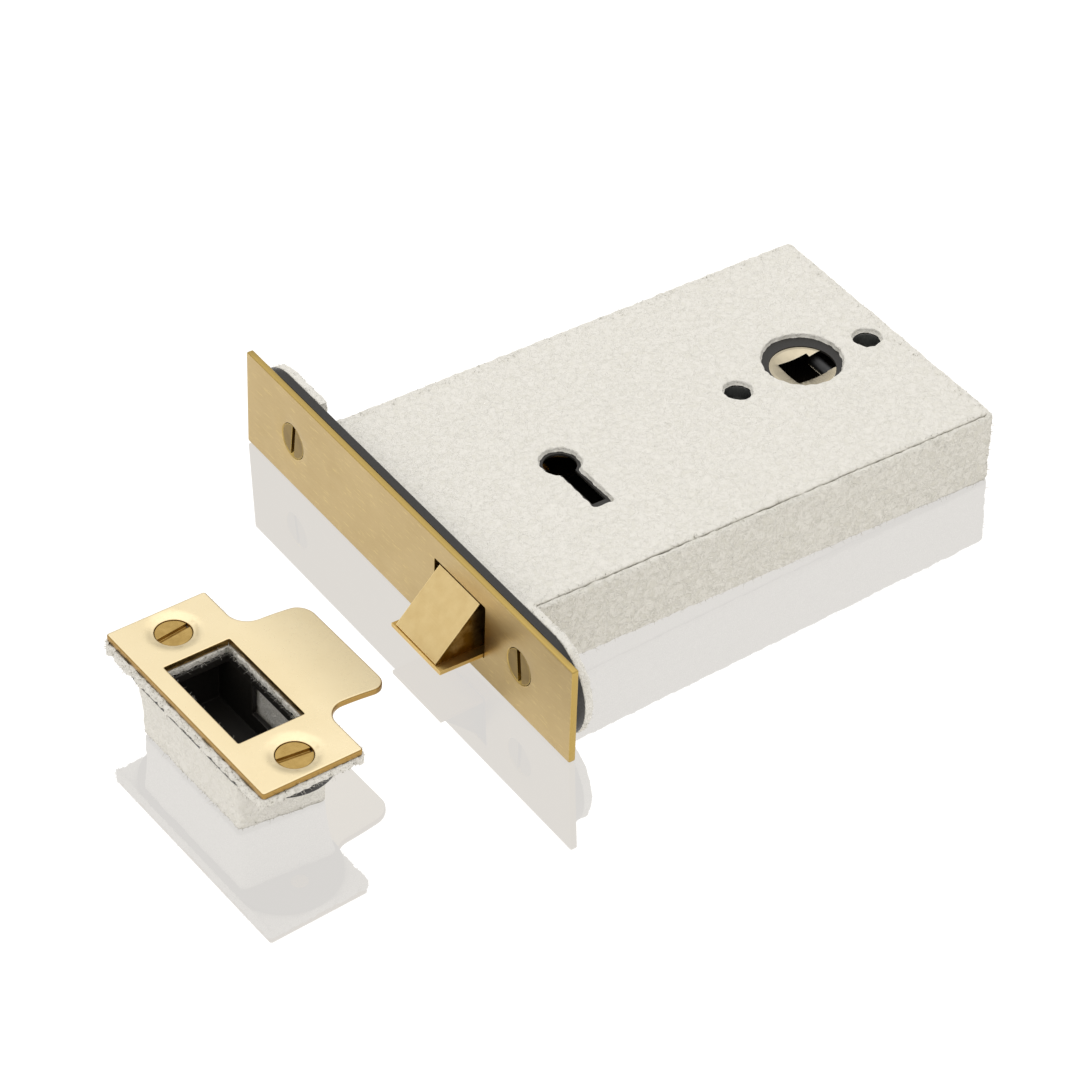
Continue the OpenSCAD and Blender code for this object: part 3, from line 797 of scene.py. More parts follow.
@dataclass
class Band:
    """A strip of constant section that follows a path seen from above."""

    path: Loop
    closed: bool
    section: Profile

    def build(self) -> Solid:
        """Sweep the section along the path.

        Returns:
            A closed solid. The section's first number is the distance to the path's right.
        """
        solid = Solid()
        rows: list[list[int]] = []
        count = len(self.path)
        for i, (x, y) in enumerate(self.path):
            before = self.path[i - 1] if self.closed or i else self.path[0]
            after = self.path[(i + 1) % count] if self.closed or i < count - 1 else self.path[-1]
            along = Vector((after[0] - before[0], after[1] - before[1])).normalized()
            right = Vector((along.y, -along.x))
            rows.append(solid.add(Vector((x + right.x * d, y + right.y * d, z))
                                  for d, z in self.section))
        for a, b in zip(rows, rows[1:] + (rows[:1] if self.closed else [])):
            solid.strip(a, b, closed=True)
        if not self.closed:
            solid.faces += [tuple(rows[0]), tuple(reversed(rows[-1]))]
        return solid


def rounded_section(inner: float, outer: float, low: float, top: float, edge: float,
                    step: float) -> Profile:
    """Closed section of a felt strip.

    Args:
        inner: distance of its inner side from the path.
        outer: distance of its outer side.
        low: height of its lower edge.
        top: height of its upper edge.
        edge: radius of its four corners.
        step: about how far apart the points are.

    Returns:
        The section's points in order.
    """
    return rounded_box((inner, low), (outer, top), edge, step)


def nap(depth_mm: float, nap_mm: float, seed: float) -> Callable[[Vector, Vector], float]:
    """Relief of matted felt: soft wrinkles with finer tufts on them.

    Args:
        depth_mm: height of the wrinkles.
        nap_mm: distance between them.
        seed: moves the pattern, so that two pieces differ.

    Returns:
        A function of a point and its normal that gives the height there, in metres.
    """
    shift = Vector((seed, seed * 1.7, seed * 0.6))

    def height(point: Vector, _normal: Vector) -> float:
        """Height of the nap at a point."""
        coarse = noise.noise(point / (nap_mm * MM) + shift)
        fine = noise.noise(point / (nap_mm * 0.4 * MM) + shift * 2)
        return depth_mm * MM * (0.65 * coarse + 0.35 * fine - 0.35)

    return height


@dataclass
class Fibres:
    """Loose hairs that stand out of cut felt, thick enough to show at arm's length."""

    chance: random.Random
    length_mm: tuple[float, float] = (0.35, 1.1)
    radius_mm: float = 0.06

    def grow(self, solid: Solid, roots: Iterable[tuple[Vector, Vector]]) -> None:
        """Add a curved, tapering hair at each root.

        Args:
            solid: the felt piece that gets them.
            roots: where each hair stands, and the way out there.
        """
        for root, out in roots:
            self._hair(solid, root, out)

    def _hair(self, solid: Solid, root: Vector, out: Vector) -> None:
        """Add one hair.

        Args:
            solid: the felt piece that gets it.
            root: where it stands.
            out: the way out of the felt.
        """
        pick = self.chance
        length = pick.uniform(*self.length_mm) * MM
        lean = Vector([pick.uniform(-1, 1) for _ in range(3)])
        heading = (out + lean * 0.9).normalized()
        bend = Vector([pick.uniform(-1, 1) for _ in range(3)]) * 0.5
        side = heading.orthogonal().normalized()
        up = heading.cross(side)
        rows: list[list[int]] = []
        for k in range(4):
            t = k / 3
            centre = root + (heading * t + bend * t * t) * length - out * 0.1 * MM * (1 - t)
            width = self.radius_mm * MM * (1 - 0.75 * t)
            rows.append(solid.add(
                centre + (side * math.cos(a) + up * math.sin(a)) * width
                for a in (0, 2.094, 4.189)))
        for a, b in zip(rows, rows[1:]):
            solid.strip(a, b, closed=True)
        solid.faces += [tuple(rows[0]), tuple(reversed(rows[-1]))]


def scatter(solid: Solid, count: int, chance: random.Random,
            wanted: Callable[[Vector, Vector], bool]) -> list[tuple[Vector, Vector]]:
    """Pick random places on a solid's faces.

    Args:
        solid: the solid.
        count: how many faces are tried.
        chance: source of random numbers.
        wanted: from a point and its normal, whether a hair may stand there.

    Returns:
        Points and the normals there.
    """
    found: list[tuple[Vector, Vector]] = []
    for face in chance.choices(solid.faces, k=count):
        corners = [solid.points[i] for i in face]
        centre = sum(corners, Vector()) / len(corners)
        normal = (corners[1] - corners[0]).cross(corners[-1] - corners[0])
        if normal.length < 1e-14:
            continue
        normal.normalize()
        if wanted(centre, normal):
            found.append((centre, normal))
    return found


# ---------------------------------------------------------------- the lock's own pieces


@dataclass
class Workshop:
    """What every sub-assembly needs: the paint box, the frame's bodies and the log."""

    paints: Paintbox
    body_of: dict[str, str]
    slot_of: dict[str, str]

    def fit(self, solid: Solid, name: str, node: str) -> bpy.types.Object:
        """Finish a new piece that stands for one CAD node.

        Args:
            solid: its shape.
            name: its name.
            node: the CAD node that it stands for.

        Returns:
            The piece, riding on the node's body.
        """
        slot = self.slot_of[node]
        made = solid.piece(name, self.paints.get(slot, node))
        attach(made, self.body_of[node])
        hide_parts(node)
        LOG.info("%s stands for %s, %d faces", name, node, len(made.data.polygons))
        return made

    @staticmethod
    def cut(piece: bpy.types.Object, flat: Point, held: str, on: Sequence[str],
            area: float | None = None) -> None:
        """Log the flat size that a felt piece is cut to.

        Args:
            piece: the felt.
            flat: width and length of the cut.
            held: how it is held; not used.
            on: names of what it is bonded to; not used.
            area: flat area, where the cut isn't a rectangle; not used.
        """
        LOG.info("%s is cut %.1f by %.1f mm", piece.name, flat[0] / MM, flat[1] / MM)


@dataclass
class CarriedNodes:
    """CAD nodes whose own shape shows: softened edges and the right finish."""

    shop: Workshop
    edge_mm: dict[str, float] = field(default_factory=lambda: {
        "forend": 0.3, "latch_head": 0.22, "bolt_plate": 0.18, "face_plate_screws": 0.14,
        "strike_screws": 0.14, "follower": 0.12, "case_cover": 0.12, "case_tray": 0.12,
        "strike_inner_plate": 0.25, "dust_box": 0.15})
    plain_edge_mm: float = 0.1

    def dress(self, hidden: set[str]) -> None:
        """Give each shown CAD node its finish and its softened edges.

        Args:
            hidden: nodes that another piece stands for.
        """
        for name, node in sorted(frame["nodes"].items()):
            if name in hidden:
                continue
            node.data.materials.clear()
            node.data.materials.append(self.shop.paints.get(self.shop.slot_of[name], name))
            self._soften(node, self.edge_mm.get(name, self.plain_edge_mm) * MM)
            LOG.info("%s carried over as %s", name, self.shop.slot_of[name])

    def _soften(self, node: bpy.types.Object, width: float) -> None:
        """Round a node's sharp edges with modifiers, which leave its own mesh alone.

        Args:
            node: the CAD node's object.
            width: width of the rounding.
        """
        weld = node.modifiers.new("weld", "WELD")
        weld.merge_threshold = 0.002 * MM
        flat = node.modifiers.new("flat", "DECIMATE")
        flat.decimate_type = "DISSOLVE"
        flat.angle_limit = math.radians(0.5)
        bevel = node.modifiers.new("edge", "BEVEL")
        bevel.width = width
        bevel.segments = 2
        bevel.limit_method = "ANGLE"
        bevel.angle_limit = math.radians(35)
        bevel.harden_normals = False


@dataclass
class FacePlate:
    """Brushed brass plate that ends flush with the door's edge."""

    shop: Workshop
    corner: float = 0.5 * MM
    edge: float = 0.35 * MM
    head_r: float = 4.62 * MM
    screw_span: float = 94.2 * MM
    opening: tuple[Point, Point] = ((-7.6 * MM, -33.6 * MM), (7.3 * MM, -13.1 * MM))

    def build(self) -> None:
        """Build the plate with its opening and its two countersinks."""
        low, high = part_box("face_plate")
        thick = high.x - low.x
        plain = soft_rim(0.0, -thick, 0.12 * MM, 2)
        sink = [(0.25 * MM, 0.0), (0.12 * MM, -0.03 * MM), (0.0, -0.16 * MM),
                (-thick + 0.16 * MM, -thick)]
        holes = [(rounded_box(*self.opening, 0.35 * MM, 2 * MM), plain)]
        for way in (-1, 1):
            holes.append((ring((0.0, way * self.screw_span / 2), self.head_r, 0.5 * MM), sink))
        outline = rounded_box((low.z, low.y), (high.z, high.y), self.corner, 3 * MM)
        plate = Plate(outline, soft_rim(0.0, -thick, self.edge, 4), holes, 3 * MM,
                      lambda u, v, w: Vector((-w, v, u)))
        self.shop.fit(plate.build(), "brass_face_plate", "face_plate")


@dataclass
class Lie:
    """How the strike lies on the table: its middle, its turn and its top."""

    screw_span: float = 48 * MM
    head_r: float = 4.25 * MM
    middle: Vector = field(init=False)
    turn: float = field(init=False)
    top: float = field(init=False)

    def __post_init__(self) -> None:
        """Read the turn off the two screws' box."""
        low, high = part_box("strike_screws")
        self.middle = (low + high) / 2
        self.turn = math.atan2(high.x - low.x - 2 * self.head_r, high.y - low.y - 2 * self.head_r)
        self.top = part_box("strike_plate")[1].z

    def place(self, u: float, v: float, w: float) -> Vector:
        """Take a point from the strike's own axes, about its middle, to the frame."""
        c, s = math.cos(self.turn), math.sin(self.turn)
        return Vector((self.middle.x + u * c - v * s, self.middle.y + u * s + v * c, w))


@dataclass
class StrikePlate:
    """Satin brass strike with a bent lip and two screw dimples."""

    shop: Workshop
    lie: Lie
    width: float = 25.7 * MM
    length: float = 62.7 * MM
    lip_out: float = 17.2 * MM
    lip_from: float = -16 * MM
    lip_to: float = 17 * MM
    opening: tuple[Point, Point] = ((-8.3 * MM, -14.85 * MM), (8.7 * MM, 14.85 * MM))
    lip_bend_r: float = 87 * MM
    lip_corner: float = 4 * MM
    lip_fillet: float = 5 * MM
    edge: float = 0.4 * MM
    thick: float = 1.75 * MM
    dimple_r: float = 6.3 * MM
    dimple_deep: float = 0.6 * MM

    def build(self) -> None:
        """Build the plate with its opening, dimples and lip."""
        hinge = self.width / 2
        screws = [(0.0, way * self.lie.screw_span / 2) for way in (-1, 1)]
        top = self.lie.top
        rim = soft_rim(top, top - self.thick, self.edge, 4)
        holes = [(rounded_box(*self.opening, 0.3 * MM, 2 * MM),
                  soft_rim(top, top - self.thick, 0.25 * MM, 2))]
        holes += [(ring(at, self.lie.head_r + 0.1 * MM, 0.4 * MM),
                   soft_rim(top, top - self.thick, 0.15 * MM, 2)) for at in screws]

        def place(u: float, v: float, w: float) -> Vector:
            """Bend the lip down and press the dimples in."""
            past = max(0.0, u - hinge)
            drop = self.lip_bend_r - math.sqrt(self.lip_bend_r ** 2 - past ** 2)
            for at in screws:
                reach = math.hypot(u - at[0], v - at[1])
                t = min(1.0, max(0.0, (reach - 4.4 * MM) / (self.dimple_r - 4.4 * MM)))
                if w > top - 0.7 * self.thick:
                    drop += self.dimple_deep * (0.5 + 0.5 * math.cos(math.pi * t))
            return self.lie.place(u, v, w - drop)

        plate = Plate(self._outline(hinge), rim, holes, 1.1 * MM, place)
        self.shop.fit(plate.build(), "brass_strike_plate", "strike_plate")

    def _outline(self, hinge: float) -> Loop:
        """Outline of the strike: a rectangle with a lip, hollow at the root, round at the tip.

        Args:
            hinge: where the lip starts along the strike's own X.

        Returns:
            A closed anticlockwise loop about the strike's middle.
        """
        step = 0.8 * MM
        half, tip = self.length / 2, hinge + self.lip_out
        r, f = self.lip_corner, self.lip_fillet
        body = 0.7 * MM
        loop = arc((hinge - body, -half + body), body, -90, 0, step / 3)
        loop += arc((hinge + f, self.lip_from - f), f, 180, 90, step)
        loop += arc((tip - r, self.lip_from + r), r, -90, 0, step)
        loop += arc((tip - r, self.lip_to - r), r, 0, 90, step)
        loop += arc((hinge + f, self.lip_to + f), f, 270, 180, step)
        loop += arc((hinge - body, half - body), body, 0, 90, step / 3)
        loop += arc((-hinge + body, half - body), body, 90, 180, step / 3)
        loop += arc((-hinge + body, -half + body), body, 180, 270, step / 3)
        return fill_sides(loop, step)


@dataclass
class FeltLiner:
    """Needled felt bonded to the case, the forend, the strike and its box."""

    shop: Workshop
    lie: Lie
    step: float = 0.9 * MM
    depth_mm: float = 0.3
    edge_thick: float = 1.5 * MM
    slant: float = 0.13
    pad_proud: float = 0.9 * MM
    key: Point = (42 * MM, -1.5 * MM)
    key_r: float = 4.9 * MM
    slot_half: float = 2.65 * MM
    slot_end: float = -19.5 * MM
    hub: Point = (111.2 * MM, -2 * MM)
    hub_hole_off: Point = (0.9 * MM, 1.5 * MM)
    hub_hole_r: float = 9.8 * MM
    bolt_reach: float = 19 * MM
    bolt_hole_r: float = 3.5 * MM
    strike_half: Point = (13.3 * MM, 31.7 * MM)
    strike_gap: Point = (8.0 * MM, 14.4 * MM)
    strike_hang: float = 1.0 * MM
    wrap_thick: float = 1.2 * MM
    wrap_half: Point = (10.5 * MM, 20.9 * MM)
    chance: random.Random = field(default_factory=lambda: random.Random(SEED))

    def build(self) -> None:
        """Build every felt piece."""
        self._case_sheet("felt_top_sheet", "liner_top", 1.0)
        self._case_sheet("felt_bottom_sheet", "liner_bottom", 2.0)
        self._case_edge()
        self._forend_pad("felt_upper_pad", "forend_liner_upper", 3.0)
        self._forend_pad("felt_lower_pad", "forend_liner_lower", 4.0)
        self._strike_sheet()
        self._box_wrap()

    def _ragged(self, loop: Loop, amount: float, seed: float) -> Loop:
        """Shake a cut edge, as scissors leave it in loose fibre.

        Args:
            loop: the clean outline.
            amount: how far a point may move.
            seed: moves the pattern.

        Returns:
            The ragged outline.
        """
        out: Loop = []
        for i, (x, y) in enumerate(loop):
            spot = Vector((x, y, 0)) / (1.6 * MM) + Vector((seed, 0, seed))
            wave = noise.noise(spot) + 0.5 * noise.noise(spot * 2.3)
            moved = inset([loop[i - 1], (x, y), loop[(i + 1) % len(loop)]], amount * wave)[1]
            out.append(moved if abs(wave) < 2 else (x, y))
        return out

    def _case_sheet(self, name: str, node: str, seed: float) -> None:
        """Build the felt sheet on one flat side of the case.

        Args:
            name: the piece's name.
            node: the CAD node that it stands for.
            seed: moves the nap's pattern.
        """
        low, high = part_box(node)
        gap = 0.28 * MM
        over = self.edge_thick
        outline = rounded_box((low.x, low.y + gap), (high.x + over, high.y + over), 1.8 * MM,
                              self.step)
        outline = self._ragged(outline, 0.2 * MM, seed)
        upper = node == "liner_top"
        thick = high.z - low.z
        shape = [(1.3, 0.0), (0.75, 0.03), (0.35, 0.14), (0.08, 0.34), (0.0, 0.6), (0.1, 0.85),
                 (0.5, 1.0)]
        rim = [(amount * MM, high.z - t * thick) for amount, t in shape]
        slope = [(0.55, 0.0), (0.25, 0.05), (0.06, 0.2), (0.0, 0.45), (-0.06, 0.75), (-0.3, 1.0)]
        if not upper:
            rim = [(amount, high.z + low.z - z) for amount, z in reversed(rim)]
            slope = [(amount, 1.0 - t) for amount, t in reversed(slope)]
        hole_rim = [(amount * MM, high.z - t * thick) for amount, t in slope]
        holes = [(self._ragged(loop, 0.22 * MM, seed + 5), hole_rim) for loop in self._case_holes()]
        solid = Plate(outline, rim, holes, self.step, calm=4).build()
        solid.roughen(nap(self.depth_mm, 1.5, seed))
        top, way = (high.z, 1.0) if upper else (low.z, -1.0)
        roots = scatter(solid, 9000, self.chance,
                        lambda p, n: abs(p.z - top) < 0.9 * MM and self._near_rim(p, low, high))
        roots = [(p, Vector((n.x, n.y, abs(n.z) * way))) for p, n in roots]
        Fibres(self.chance, (0.4, 1.3)).grow(solid, roots)
        made = self.shop.fit(solid, name, node)
        flat = (high.y + over - low.y - gap, high.x + over - low.x)
        self.shop.cut(made, flat, "laid", ["case_cover" if upper else "case_tray"])

    @staticmethod
    def _near_rim(point: Vector, low: Vector, high: Vector) -> bool:
        """Whether a point lies close to the sheet's outline."""
        sides = (high.x - point.x, point.y - low.y, high.y - point.y)
        return min(sides) < 1.0 * MM

    def _case_holes(self) -> list[Loop]:
        """Outlines of the keyhole, the bolt-through holes and the follower's hole."""
        fine = 0.6 * MM
        key, half, slot_end, r = self.key, self.slot_half, self.slot_end, self.key_r
        meet = math.degrees(math.asin(half / r))
        keyhole = arc(key, r, -90 + meet, 270 - meet, fine)
        soft = 0.9 * MM
        keyhole += arc((key[0] - half + soft, slot_end + soft), soft, 180, 270, fine / 2)
        keyhole += arc((key[0] + half - soft, slot_end + soft), soft, 270, 360, fine / 2)
        hub, off = self.hub, self.hub_hole_off
        holes = [fill_sides(keyhole, fine),
                 ring((hub[0] + off[0], hub[1] + off[1]), self.hub_hole_r, fine)]
        holes += [ring((hub[0] + way * self.bolt_reach, hub[1]), self.bolt_hole_r, fine)
                  for way in (-1, 1)]
        return holes

    def _case_edge(self) -> None:
        """Build the felt strip round the lower side, the back and the upper side."""
        low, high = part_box("liner_edge")
        thick = self.edge_thick
        r = 2.6 * MM
        path: Loop = [(low.x, low.y)]
        path += arc((high.x - r, low.y + r), r, -90, 0, 0.4 * MM)
        path += arc((high.x - r, high.y - r), r, 0, 90, 0.4 * MM)
        path += [(low.x, high.y)]
        path = fill_sides(path, self.step)
        last = max(i for i, p in enumerate(path) if abs(p[1] - high.y) < 1e-6)
        path = path[:last + 1]
        section = rounded_section(-thick, 0.0, low.z, high.z, 0.65 * MM, self.step * 0.7)
        solid = Band(path, False, section).build()
        tuck = 1 - 0.8 * MM / high.z
        for point in solid.points:
            if point.y > low.y + r or point.x > high.x - 0.5 * MM:
                point.z *= tuck
        solid.roughen(nap(0.4, 1.9, 6.0))
        roots = scatter(solid, 5200, self.chance,
                        lambda p, n: abs(abs(p.z) - high.z) < 0.7 * MM or p.x > high.x - 2 * MM)
        middle = Vector(((low.x + high.x) / 2, (low.y + high.y) / 2, 0))
        roots = [(p, n if n.dot(p - middle) > 0 else -n) for p, n in roots]
        Fibres(self.chance, (0.4, 1.2)).grow(solid, roots)
        made = self.shop.fit(solid, "felt_edge_strip", "liner_edge")
        flat = (high.z - low.z, 2 * (high.x - low.x) + high.y - low.y)
        self.shop.cut(made, flat, "stretched", ["case_tray"])

    def _forend_pad(self, name: str, node: str, seed: float) -> None:
        """Build the felt pad behind one end of the forend.

        Args:
            name: the piece's name.
            node: the CAD node that it stands for.
            seed: moves the nap's pattern.
        """
        low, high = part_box(node)
        r = high.z + self.pad_proud
        way = 1 if high.y > 0 else -1
        tip = (high.y if way > 0 else low.y) + way * self.pad_proud / 2
        flat = low.y if way > 0 else high.y
        turn = (0, 180) if way > 0 else (180, 360)
        loop = arc((0.0, tip - way * r), r, *turn, self.step)
        loop += [(-r, flat), (r, flat)] if way > 0 else [(r, flat), (-r, flat)]
        outline = self._ragged(fill_sides(loop, self.step), 0.35 * MM, seed)
        rim = soft_rim(-low.x, -high.x - 0.4 * MM, 0.6 * MM, 3)
        solid = Plate(outline, rim, [], self.step, lambda u, v, w: Vector((-w, v, u)), 4).build()
        solid.roughen(nap(0.35, 1.6, seed))
        roots = scatter(solid, 900, self.chance, lambda p, n: abs(n.x) < 0.8)
        centre = Vector((low.x, (low.y + high.y) / 2, 0))
        roots = [(p, n if n.dot(p - centre) > 0 else -n) for p, n in roots]
        Fibres(self.chance, (0.3, 1.0)).grow(solid, roots)
        made = self.shop.fit(solid, name, node)
        deep = abs(tip - flat)
        self.shop.cut(made, (deep, 2 * r), "laid", ["forend"],
                      math.pi * r * r / 2 + 2 * r * (deep - r))

    def _strike_sheet(self) -> None:
        """Build the felt sheet between the strike's two plates, its edge hanging over the lower."""
        low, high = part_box("strike_liner")
        half, gap, hang = self.strike_half, self.strike_gap, self.strike_hang
        outline = self._ragged(rounded_box((-half[0], -half[1]), half, 1.4 * MM, self.step * 0.8),
                               0.5 * MM, 8.0)
        shift = 0.2 * MM
        opening = self._ragged(rounded_box((shift - gap[0], -gap[1]), (shift + gap[0], gap[1]),
                                           0.5 * MM, self.step * 0.6), 0.45 * MM, 9.0)
        rim = soft_rim(high.z, low.z, 0.45 * MM, 3)

        def droop(u: float, v: float, w: float) -> Vector:
            """Let the long outer edge hang over the steel plate below."""
            past = min(1.0, max(0.0, (-u - half[0] + 0.9 * MM) / (0.5 * MM)))
            below = (high.z - w) / (high.z - low.z)
            return self.lie.place(u, v, w - hang * past * below)

        solid = Plate(outline, rim, [(opening, rim)], 1.5 * MM, droop, 6).build()
        solid.roughen(nap(0.28, 1.4, 8.0))
        roots = scatter(solid, 5200, self.chance, lambda p, n: abs(n.z) < 0.8)
        middle = (self.lie.middle.x, self.lie.middle.y)
        roots = [(p, self._away(p, n, middle)) for p, n in roots]
        Fibres(self.chance, (0.3, 1.2)).grow(solid, roots)
        made = self.shop.fit(solid, "felt_strike_sheet", "strike_liner")
        flat = (2 * half[0] + hang, 2 * half[1])
        self.shop.cut(made, flat, "laid", ["strike_inner_plate"],
                      flat[0] * flat[1] - 4 * gap[0] * gap[1])

    @staticmethod
    def _away(point: Vector, normal: Vector, middle: Point) -> Vector:
        """Turn a normal out of a frame-shaped sheet: outward at its rim, inward at its hole."""
        offset = Vector((point.x - middle[0], point.y - middle[1], 0))
        in_hole = abs(offset.x) < 10 * MM and abs(offset.y) < 17 * MM
        facing = normal.dot(offset) > 0
        return -normal if facing == in_hole else normal

    def _box_wrap(self) -> None:
        """Build the felt wrap of the dust box: a wall round it and a sheet under it."""
        low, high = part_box("dust_box_liner")
        thick, size = self.wrap_thick, self.wrap_half
        centre = -0.1 * MM
        loop = rounded_box((centre - size[0], -size[1]), (centre + size[0], size[1]), 1.6 * MM,
                           self.step)
        loop = [(u, v + self.slant * (centre + size[0] - u) * max(0.0, -v / size[1]) ** 3)
                for u, v in fill_sides(loop, self.step)]
        section = rounded_section(-thick, 0.0, low.z, high.z, 0.45 * MM, self.step * 0.8)
        solid = Band(loop, True, section).build()
        floor = Plate(inset(loop, thick * 0.6), soft_rim(low.z + thick, low.z, 0.4 * MM, 2), [],
                      1.5 * MM).build()
        start = len(solid.points)
        solid.points += floor.points
        solid.faces += [tuple(i + start for i in face) for face in floor.faces]
        solid.points = [self._flare(p, centre, size, low.z, high.z) for p in solid.points]
        solid.roughen(nap(0.35, 2.4, 12.0))
        middle = self.lie.middle
        roots = scatter(solid, 3200, self.chance,
                        lambda p, n: p.z < low.z + 1.2 * MM or p.z > high.z - 1.8 * MM)
        roots = [(p, n if n.dot(p - Vector((middle.x, middle.y, p.z))) > 0 else -n)
                 for p, n in roots]
        Fibres(self.chance, (0.3, 1.1)).grow(solid, roots)
        made = self.shop.fit(solid, "felt_box_wrap", "dust_box_liner")
        tall = high.z - low.z
        flat = (2 * (size[0] + tall), 2 * (size[1] + tall))
        self.shop.cut(made, flat, "folded", ["dust_box"],
                      flat[0] * flat[1] - 4 * tall * tall)

    def _flare(self, point: Vector, centre: float, size: Point, low: float, high: float
               ) -> Vector:
        """Let the wrap stand off the box towards its open top, as loose felt does.

        Args:
            point: a point about the strike's middle.
            centre: middle of the box along the strike's own X.
            size: half the wrap's width and length.
            low: height of its floor.
            high: height of its top.

        Returns:
            The point in the frame.
        """
        rise = max(0.0, (point.z - low) / (high - low))
        loose = 1.1 * MM * rise ** 2
        u = point.x + loose * (point.x - centre) / size[0]
        v = point.y + loose * (point.y / size[1])
        return self.lie.place(u, v, point.z)


@dataclass
class LatchSpring:
    """Coil spring behind the latch, with closed ends and smooth round wire."""

    shop: Workshop
    wire_r: float = 0.45 * MM
    turns: float = 9.0
    closed_turns: float = 0.9
    length: float = 31 * MM
    sides: int = 12
    steps: int = 36

    def build(self) -> None:
        """Build the coil."""
        low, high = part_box("latch_spring")
        axis = ((low.y + high.y) / 2, (low.z + high.z) / 2)
        coil_r = (high.y - low.y) / 2 - self.wire_r
        span = high.x - low.x - 2 * self.wire_r
        count = int(self.turns * self.steps)
        solid = Solid()
        rows: list[list[int]] = []
        for i in range(count + 1):
            angle = 2 * math.pi * i / self.steps
            out = Vector((0, math.cos(angle), math.sin(angle)))
            x = low.x + self.wire_r + span * self._advance(i / count)
            centre = Vector((x, axis[0], axis[1])) + out * coil_r
            rows.append(solid.add(
                centre + (out * math.cos(b) + Vector((1, 0, 0)) * math.sin(b)) * self.wire_r
                for b in (2 * math.pi * k / self.sides for k in range(self.sides))))
        for a, b in zip(rows, rows[1:]):
            solid.strip(a, b, closed=True)
        solid.faces += [tuple(rows[0]), tuple(reversed(rows[-1]))]
        made = self.shop.fit(solid, "latch_coil_spring", "latch_spring")
        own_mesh(made)

    def _advance(self, t: float) -> float:
        """How far along the coil a share of its turns has come, slower in the closed ends."""
        end = self.closed_turns / self.turns
        run = 2 * self.wire_r * 1.15 * self.closed_turns / self.length
        if t < end:
            return run * t / end
        if t > 1 - end:
            return 1 - run * (1 - t) / end
        return run + (1 - 2 * run) * (t - end) / (1 - 2 * end)


# ---------------------------------------------------------------- floor, light and camera


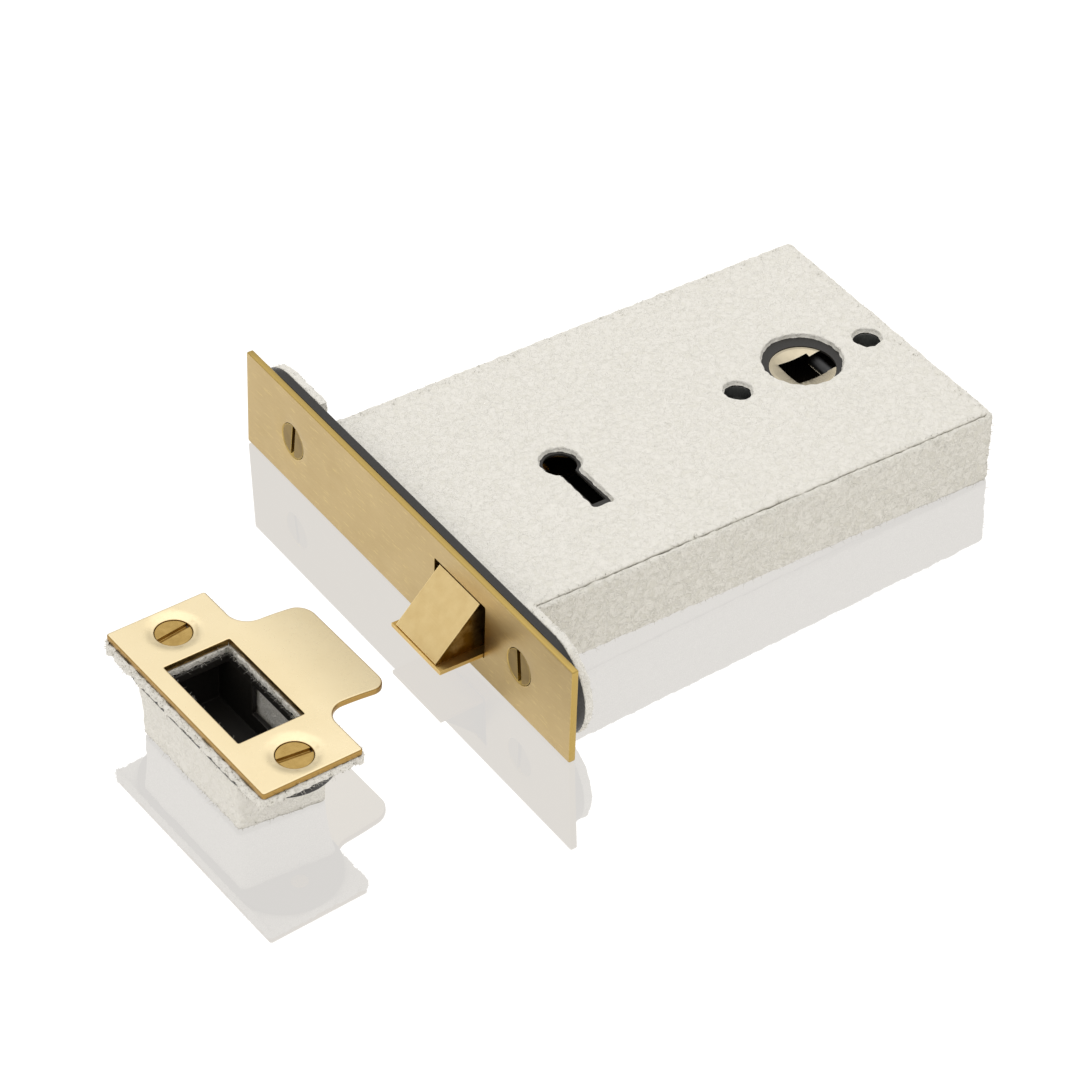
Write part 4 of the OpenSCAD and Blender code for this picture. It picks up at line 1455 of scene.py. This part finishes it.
@dataclass
class Studio:
    """White gloss floor, soft light all round, and a long lens.

    The lock stands on the lower edge of its face plate and the back edge of its case, and the
    strike stands on its box, so the floor leans a little against the lock's own frame.
    """

    eye: Vector = field(default_factory=lambda: Vector((-0.43896, -0.66995, 0.67287)))
    right: Vector = field(default_factory=lambda: Vector((0.82643, -0.56246, 0.02549)))
    up: Vector = field(default_factory=lambda: Vector((0.34456, 0.54103, 0.76718)))
    lens_mm: float = 153.7
    floor_half: float = 6.0
    floor_gap: float = 0.45 * MM
    horizon: float = 0.55
    zenith: float = 1.2
    ceiling_size: float = 16.0
    ceiling_power: float = 2400.0
    ceiling_height: float = 1.5
    floor: bpy.types.Object | None = None

    def build(self) -> None:
        """Build the floor, the lights, the world and the camera."""
        self._floor()
        self._lights()
        self._camera()
        bpy.context.scene.view_settings.view_transform = "Standard"

    def _floor(self) -> None:
        """Lay the floor under the lock's two edges."""
        front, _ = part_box("face_plate")
        rest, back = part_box("liner_edge")
        lean = math.atan2(rest.z - front.z, back.x)
        mesh = bpy.data.meshes.new("floor")
        half = self.floor_half
        mesh.from_pydata([(-half, -half, 0), (half, -half, 0), (half, half, 0), (-half, half, 0)],
                         [], [(0, 1, 2, 3)])
        mesh.materials.append(LIGHT_TABLE.build())
        floor = self.floor = bpy.data.objects.new("floor", mesh)
        floor.matrix_world = (Matrix.Translation((0, 0, front.z - self.floor_gap))
                              @ Matrix.Rotation(-lean, 4, "Y"))
        bpy.context.scene.collection.objects.link(floor)

    def _lights(self) -> None:
        """White surroundings, brighter overhead, two soft boxes and the floor's ceiling."""
        world = bpy.data.worlds.new("white_room")
        world.use_nodes = True
        back = world.node_tree.nodes["Background"]
        height = add_node(world.node_tree, "ShaderNodeSeparateXYZ", {
            "Vector": add_node(world.node_tree, "ShaderNodeTexCoord").outputs["Generated"]})
        fall = add_node(world.node_tree, "ShaderNodeMapRange", {
            "Value": height.outputs["Z"], "To Min": self.horizon,
            "To Max": self.zenith})
        world.node_tree.links.new(fall.outputs["Result"], back.inputs["Strength"])
        back.inputs["Color"].default_value = linear("#FFFFFF")
        bpy.context.scene.world = world
        self._soft_box("over", (0.25, 0.35, 1.1), 1.1, 1.6)
        self._soft_box("left", (-1.1, 0.3, 0.7), 0.9, 1.2)
        self._ceiling()

    def _ceiling(self) -> None:
        """Hang a wide white ceiling that only the floor sees, so that the floor burns out."""
        lamp = bpy.data.lights.new("ceiling", "AREA")
        lamp.shape = "DISK"
        lamp.size = self.ceiling_size
        lamp.energy = self.ceiling_power
        hung = bpy.data.objects.new("ceiling", lamp)
        hung.location = (0.0, 0.0, self.ceiling_height)
        hung.visible_camera = False
        bpy.context.scene.collection.objects.link(hung)
        only_floor = bpy.data.collections.new("ceiling_lights_only")
        only_floor.objects.link(self.floor)
        hung.light_linking.receiver_collection = only_floor

    @staticmethod
    def _soft_box(name: str, place: tuple[float, float, float], size: float,
                  power: float) -> None:
        """Hang a square light that faces the lock.

        Args:
            name: the light's name.
            place: where it hangs.
            size: its side, in metres.
            power: its power, in watts.
        """
        lamp = bpy.data.lights.new(name, "AREA")
        lamp.shape = "SQUARE"
        lamp.size = size
        lamp.energy = power
        hung = bpy.data.objects.new(name, lamp)
        hung.location = place
        hung.rotation_euler = Vector(place).to_track_quat("Z", "Y").to_euler()
        bpy.context.scene.collection.objects.link(hung)

    def _camera(self) -> None:
        """Set up the camera with no shift and no depth of field."""
        lens = bpy.data.cameras.new("camera")
        lens.sensor_width = 36.0
        lens.lens = self.lens_mm
        lens.clip_start = 0.01
        lens.clip_end = 50.0
        camera = bpy.data.objects.new("camera", lens)
        back = self.right.cross(self.up)
        camera.matrix_world = Matrix((
            (self.right.x, self.up.x, back.x, self.eye.x),
            (self.right.y, self.up.y, back.y, self.eye.y),
            (self.right.z, self.up.z, back.z, self.eye.z),
            (0, 0, 0, 1)))
        bpy.context.scene.collection.objects.link(camera)
        bpy.context.scene.camera = camera


def main() -> None:
    """Build the studio and every piece."""
    logging.basicConfig(level=logging.INFO, format="%(message)s")
    Studio().build()
    record = frame["record"]
    slots = {row["node"]: row["material_slot"] for row in record["subparts"]}
    bodies = {n: body for body, nodes in record["behaviour"]["bodies"].items() for n in nodes}
    shop = Workshop(Paintbox(), bodies, slots)
    FacePlate(shop).build()
    lie = Lie()
    StrikePlate(shop, lie).build()
    FeltLiner(shop, lie).build()
    LatchSpring(shop).build()
    hidden = {name for name, node in frame["nodes"].items() if node.hide_render}
    CarriedNodes(shop).dress(hidden)


if __name__ == "__main__":
    main()
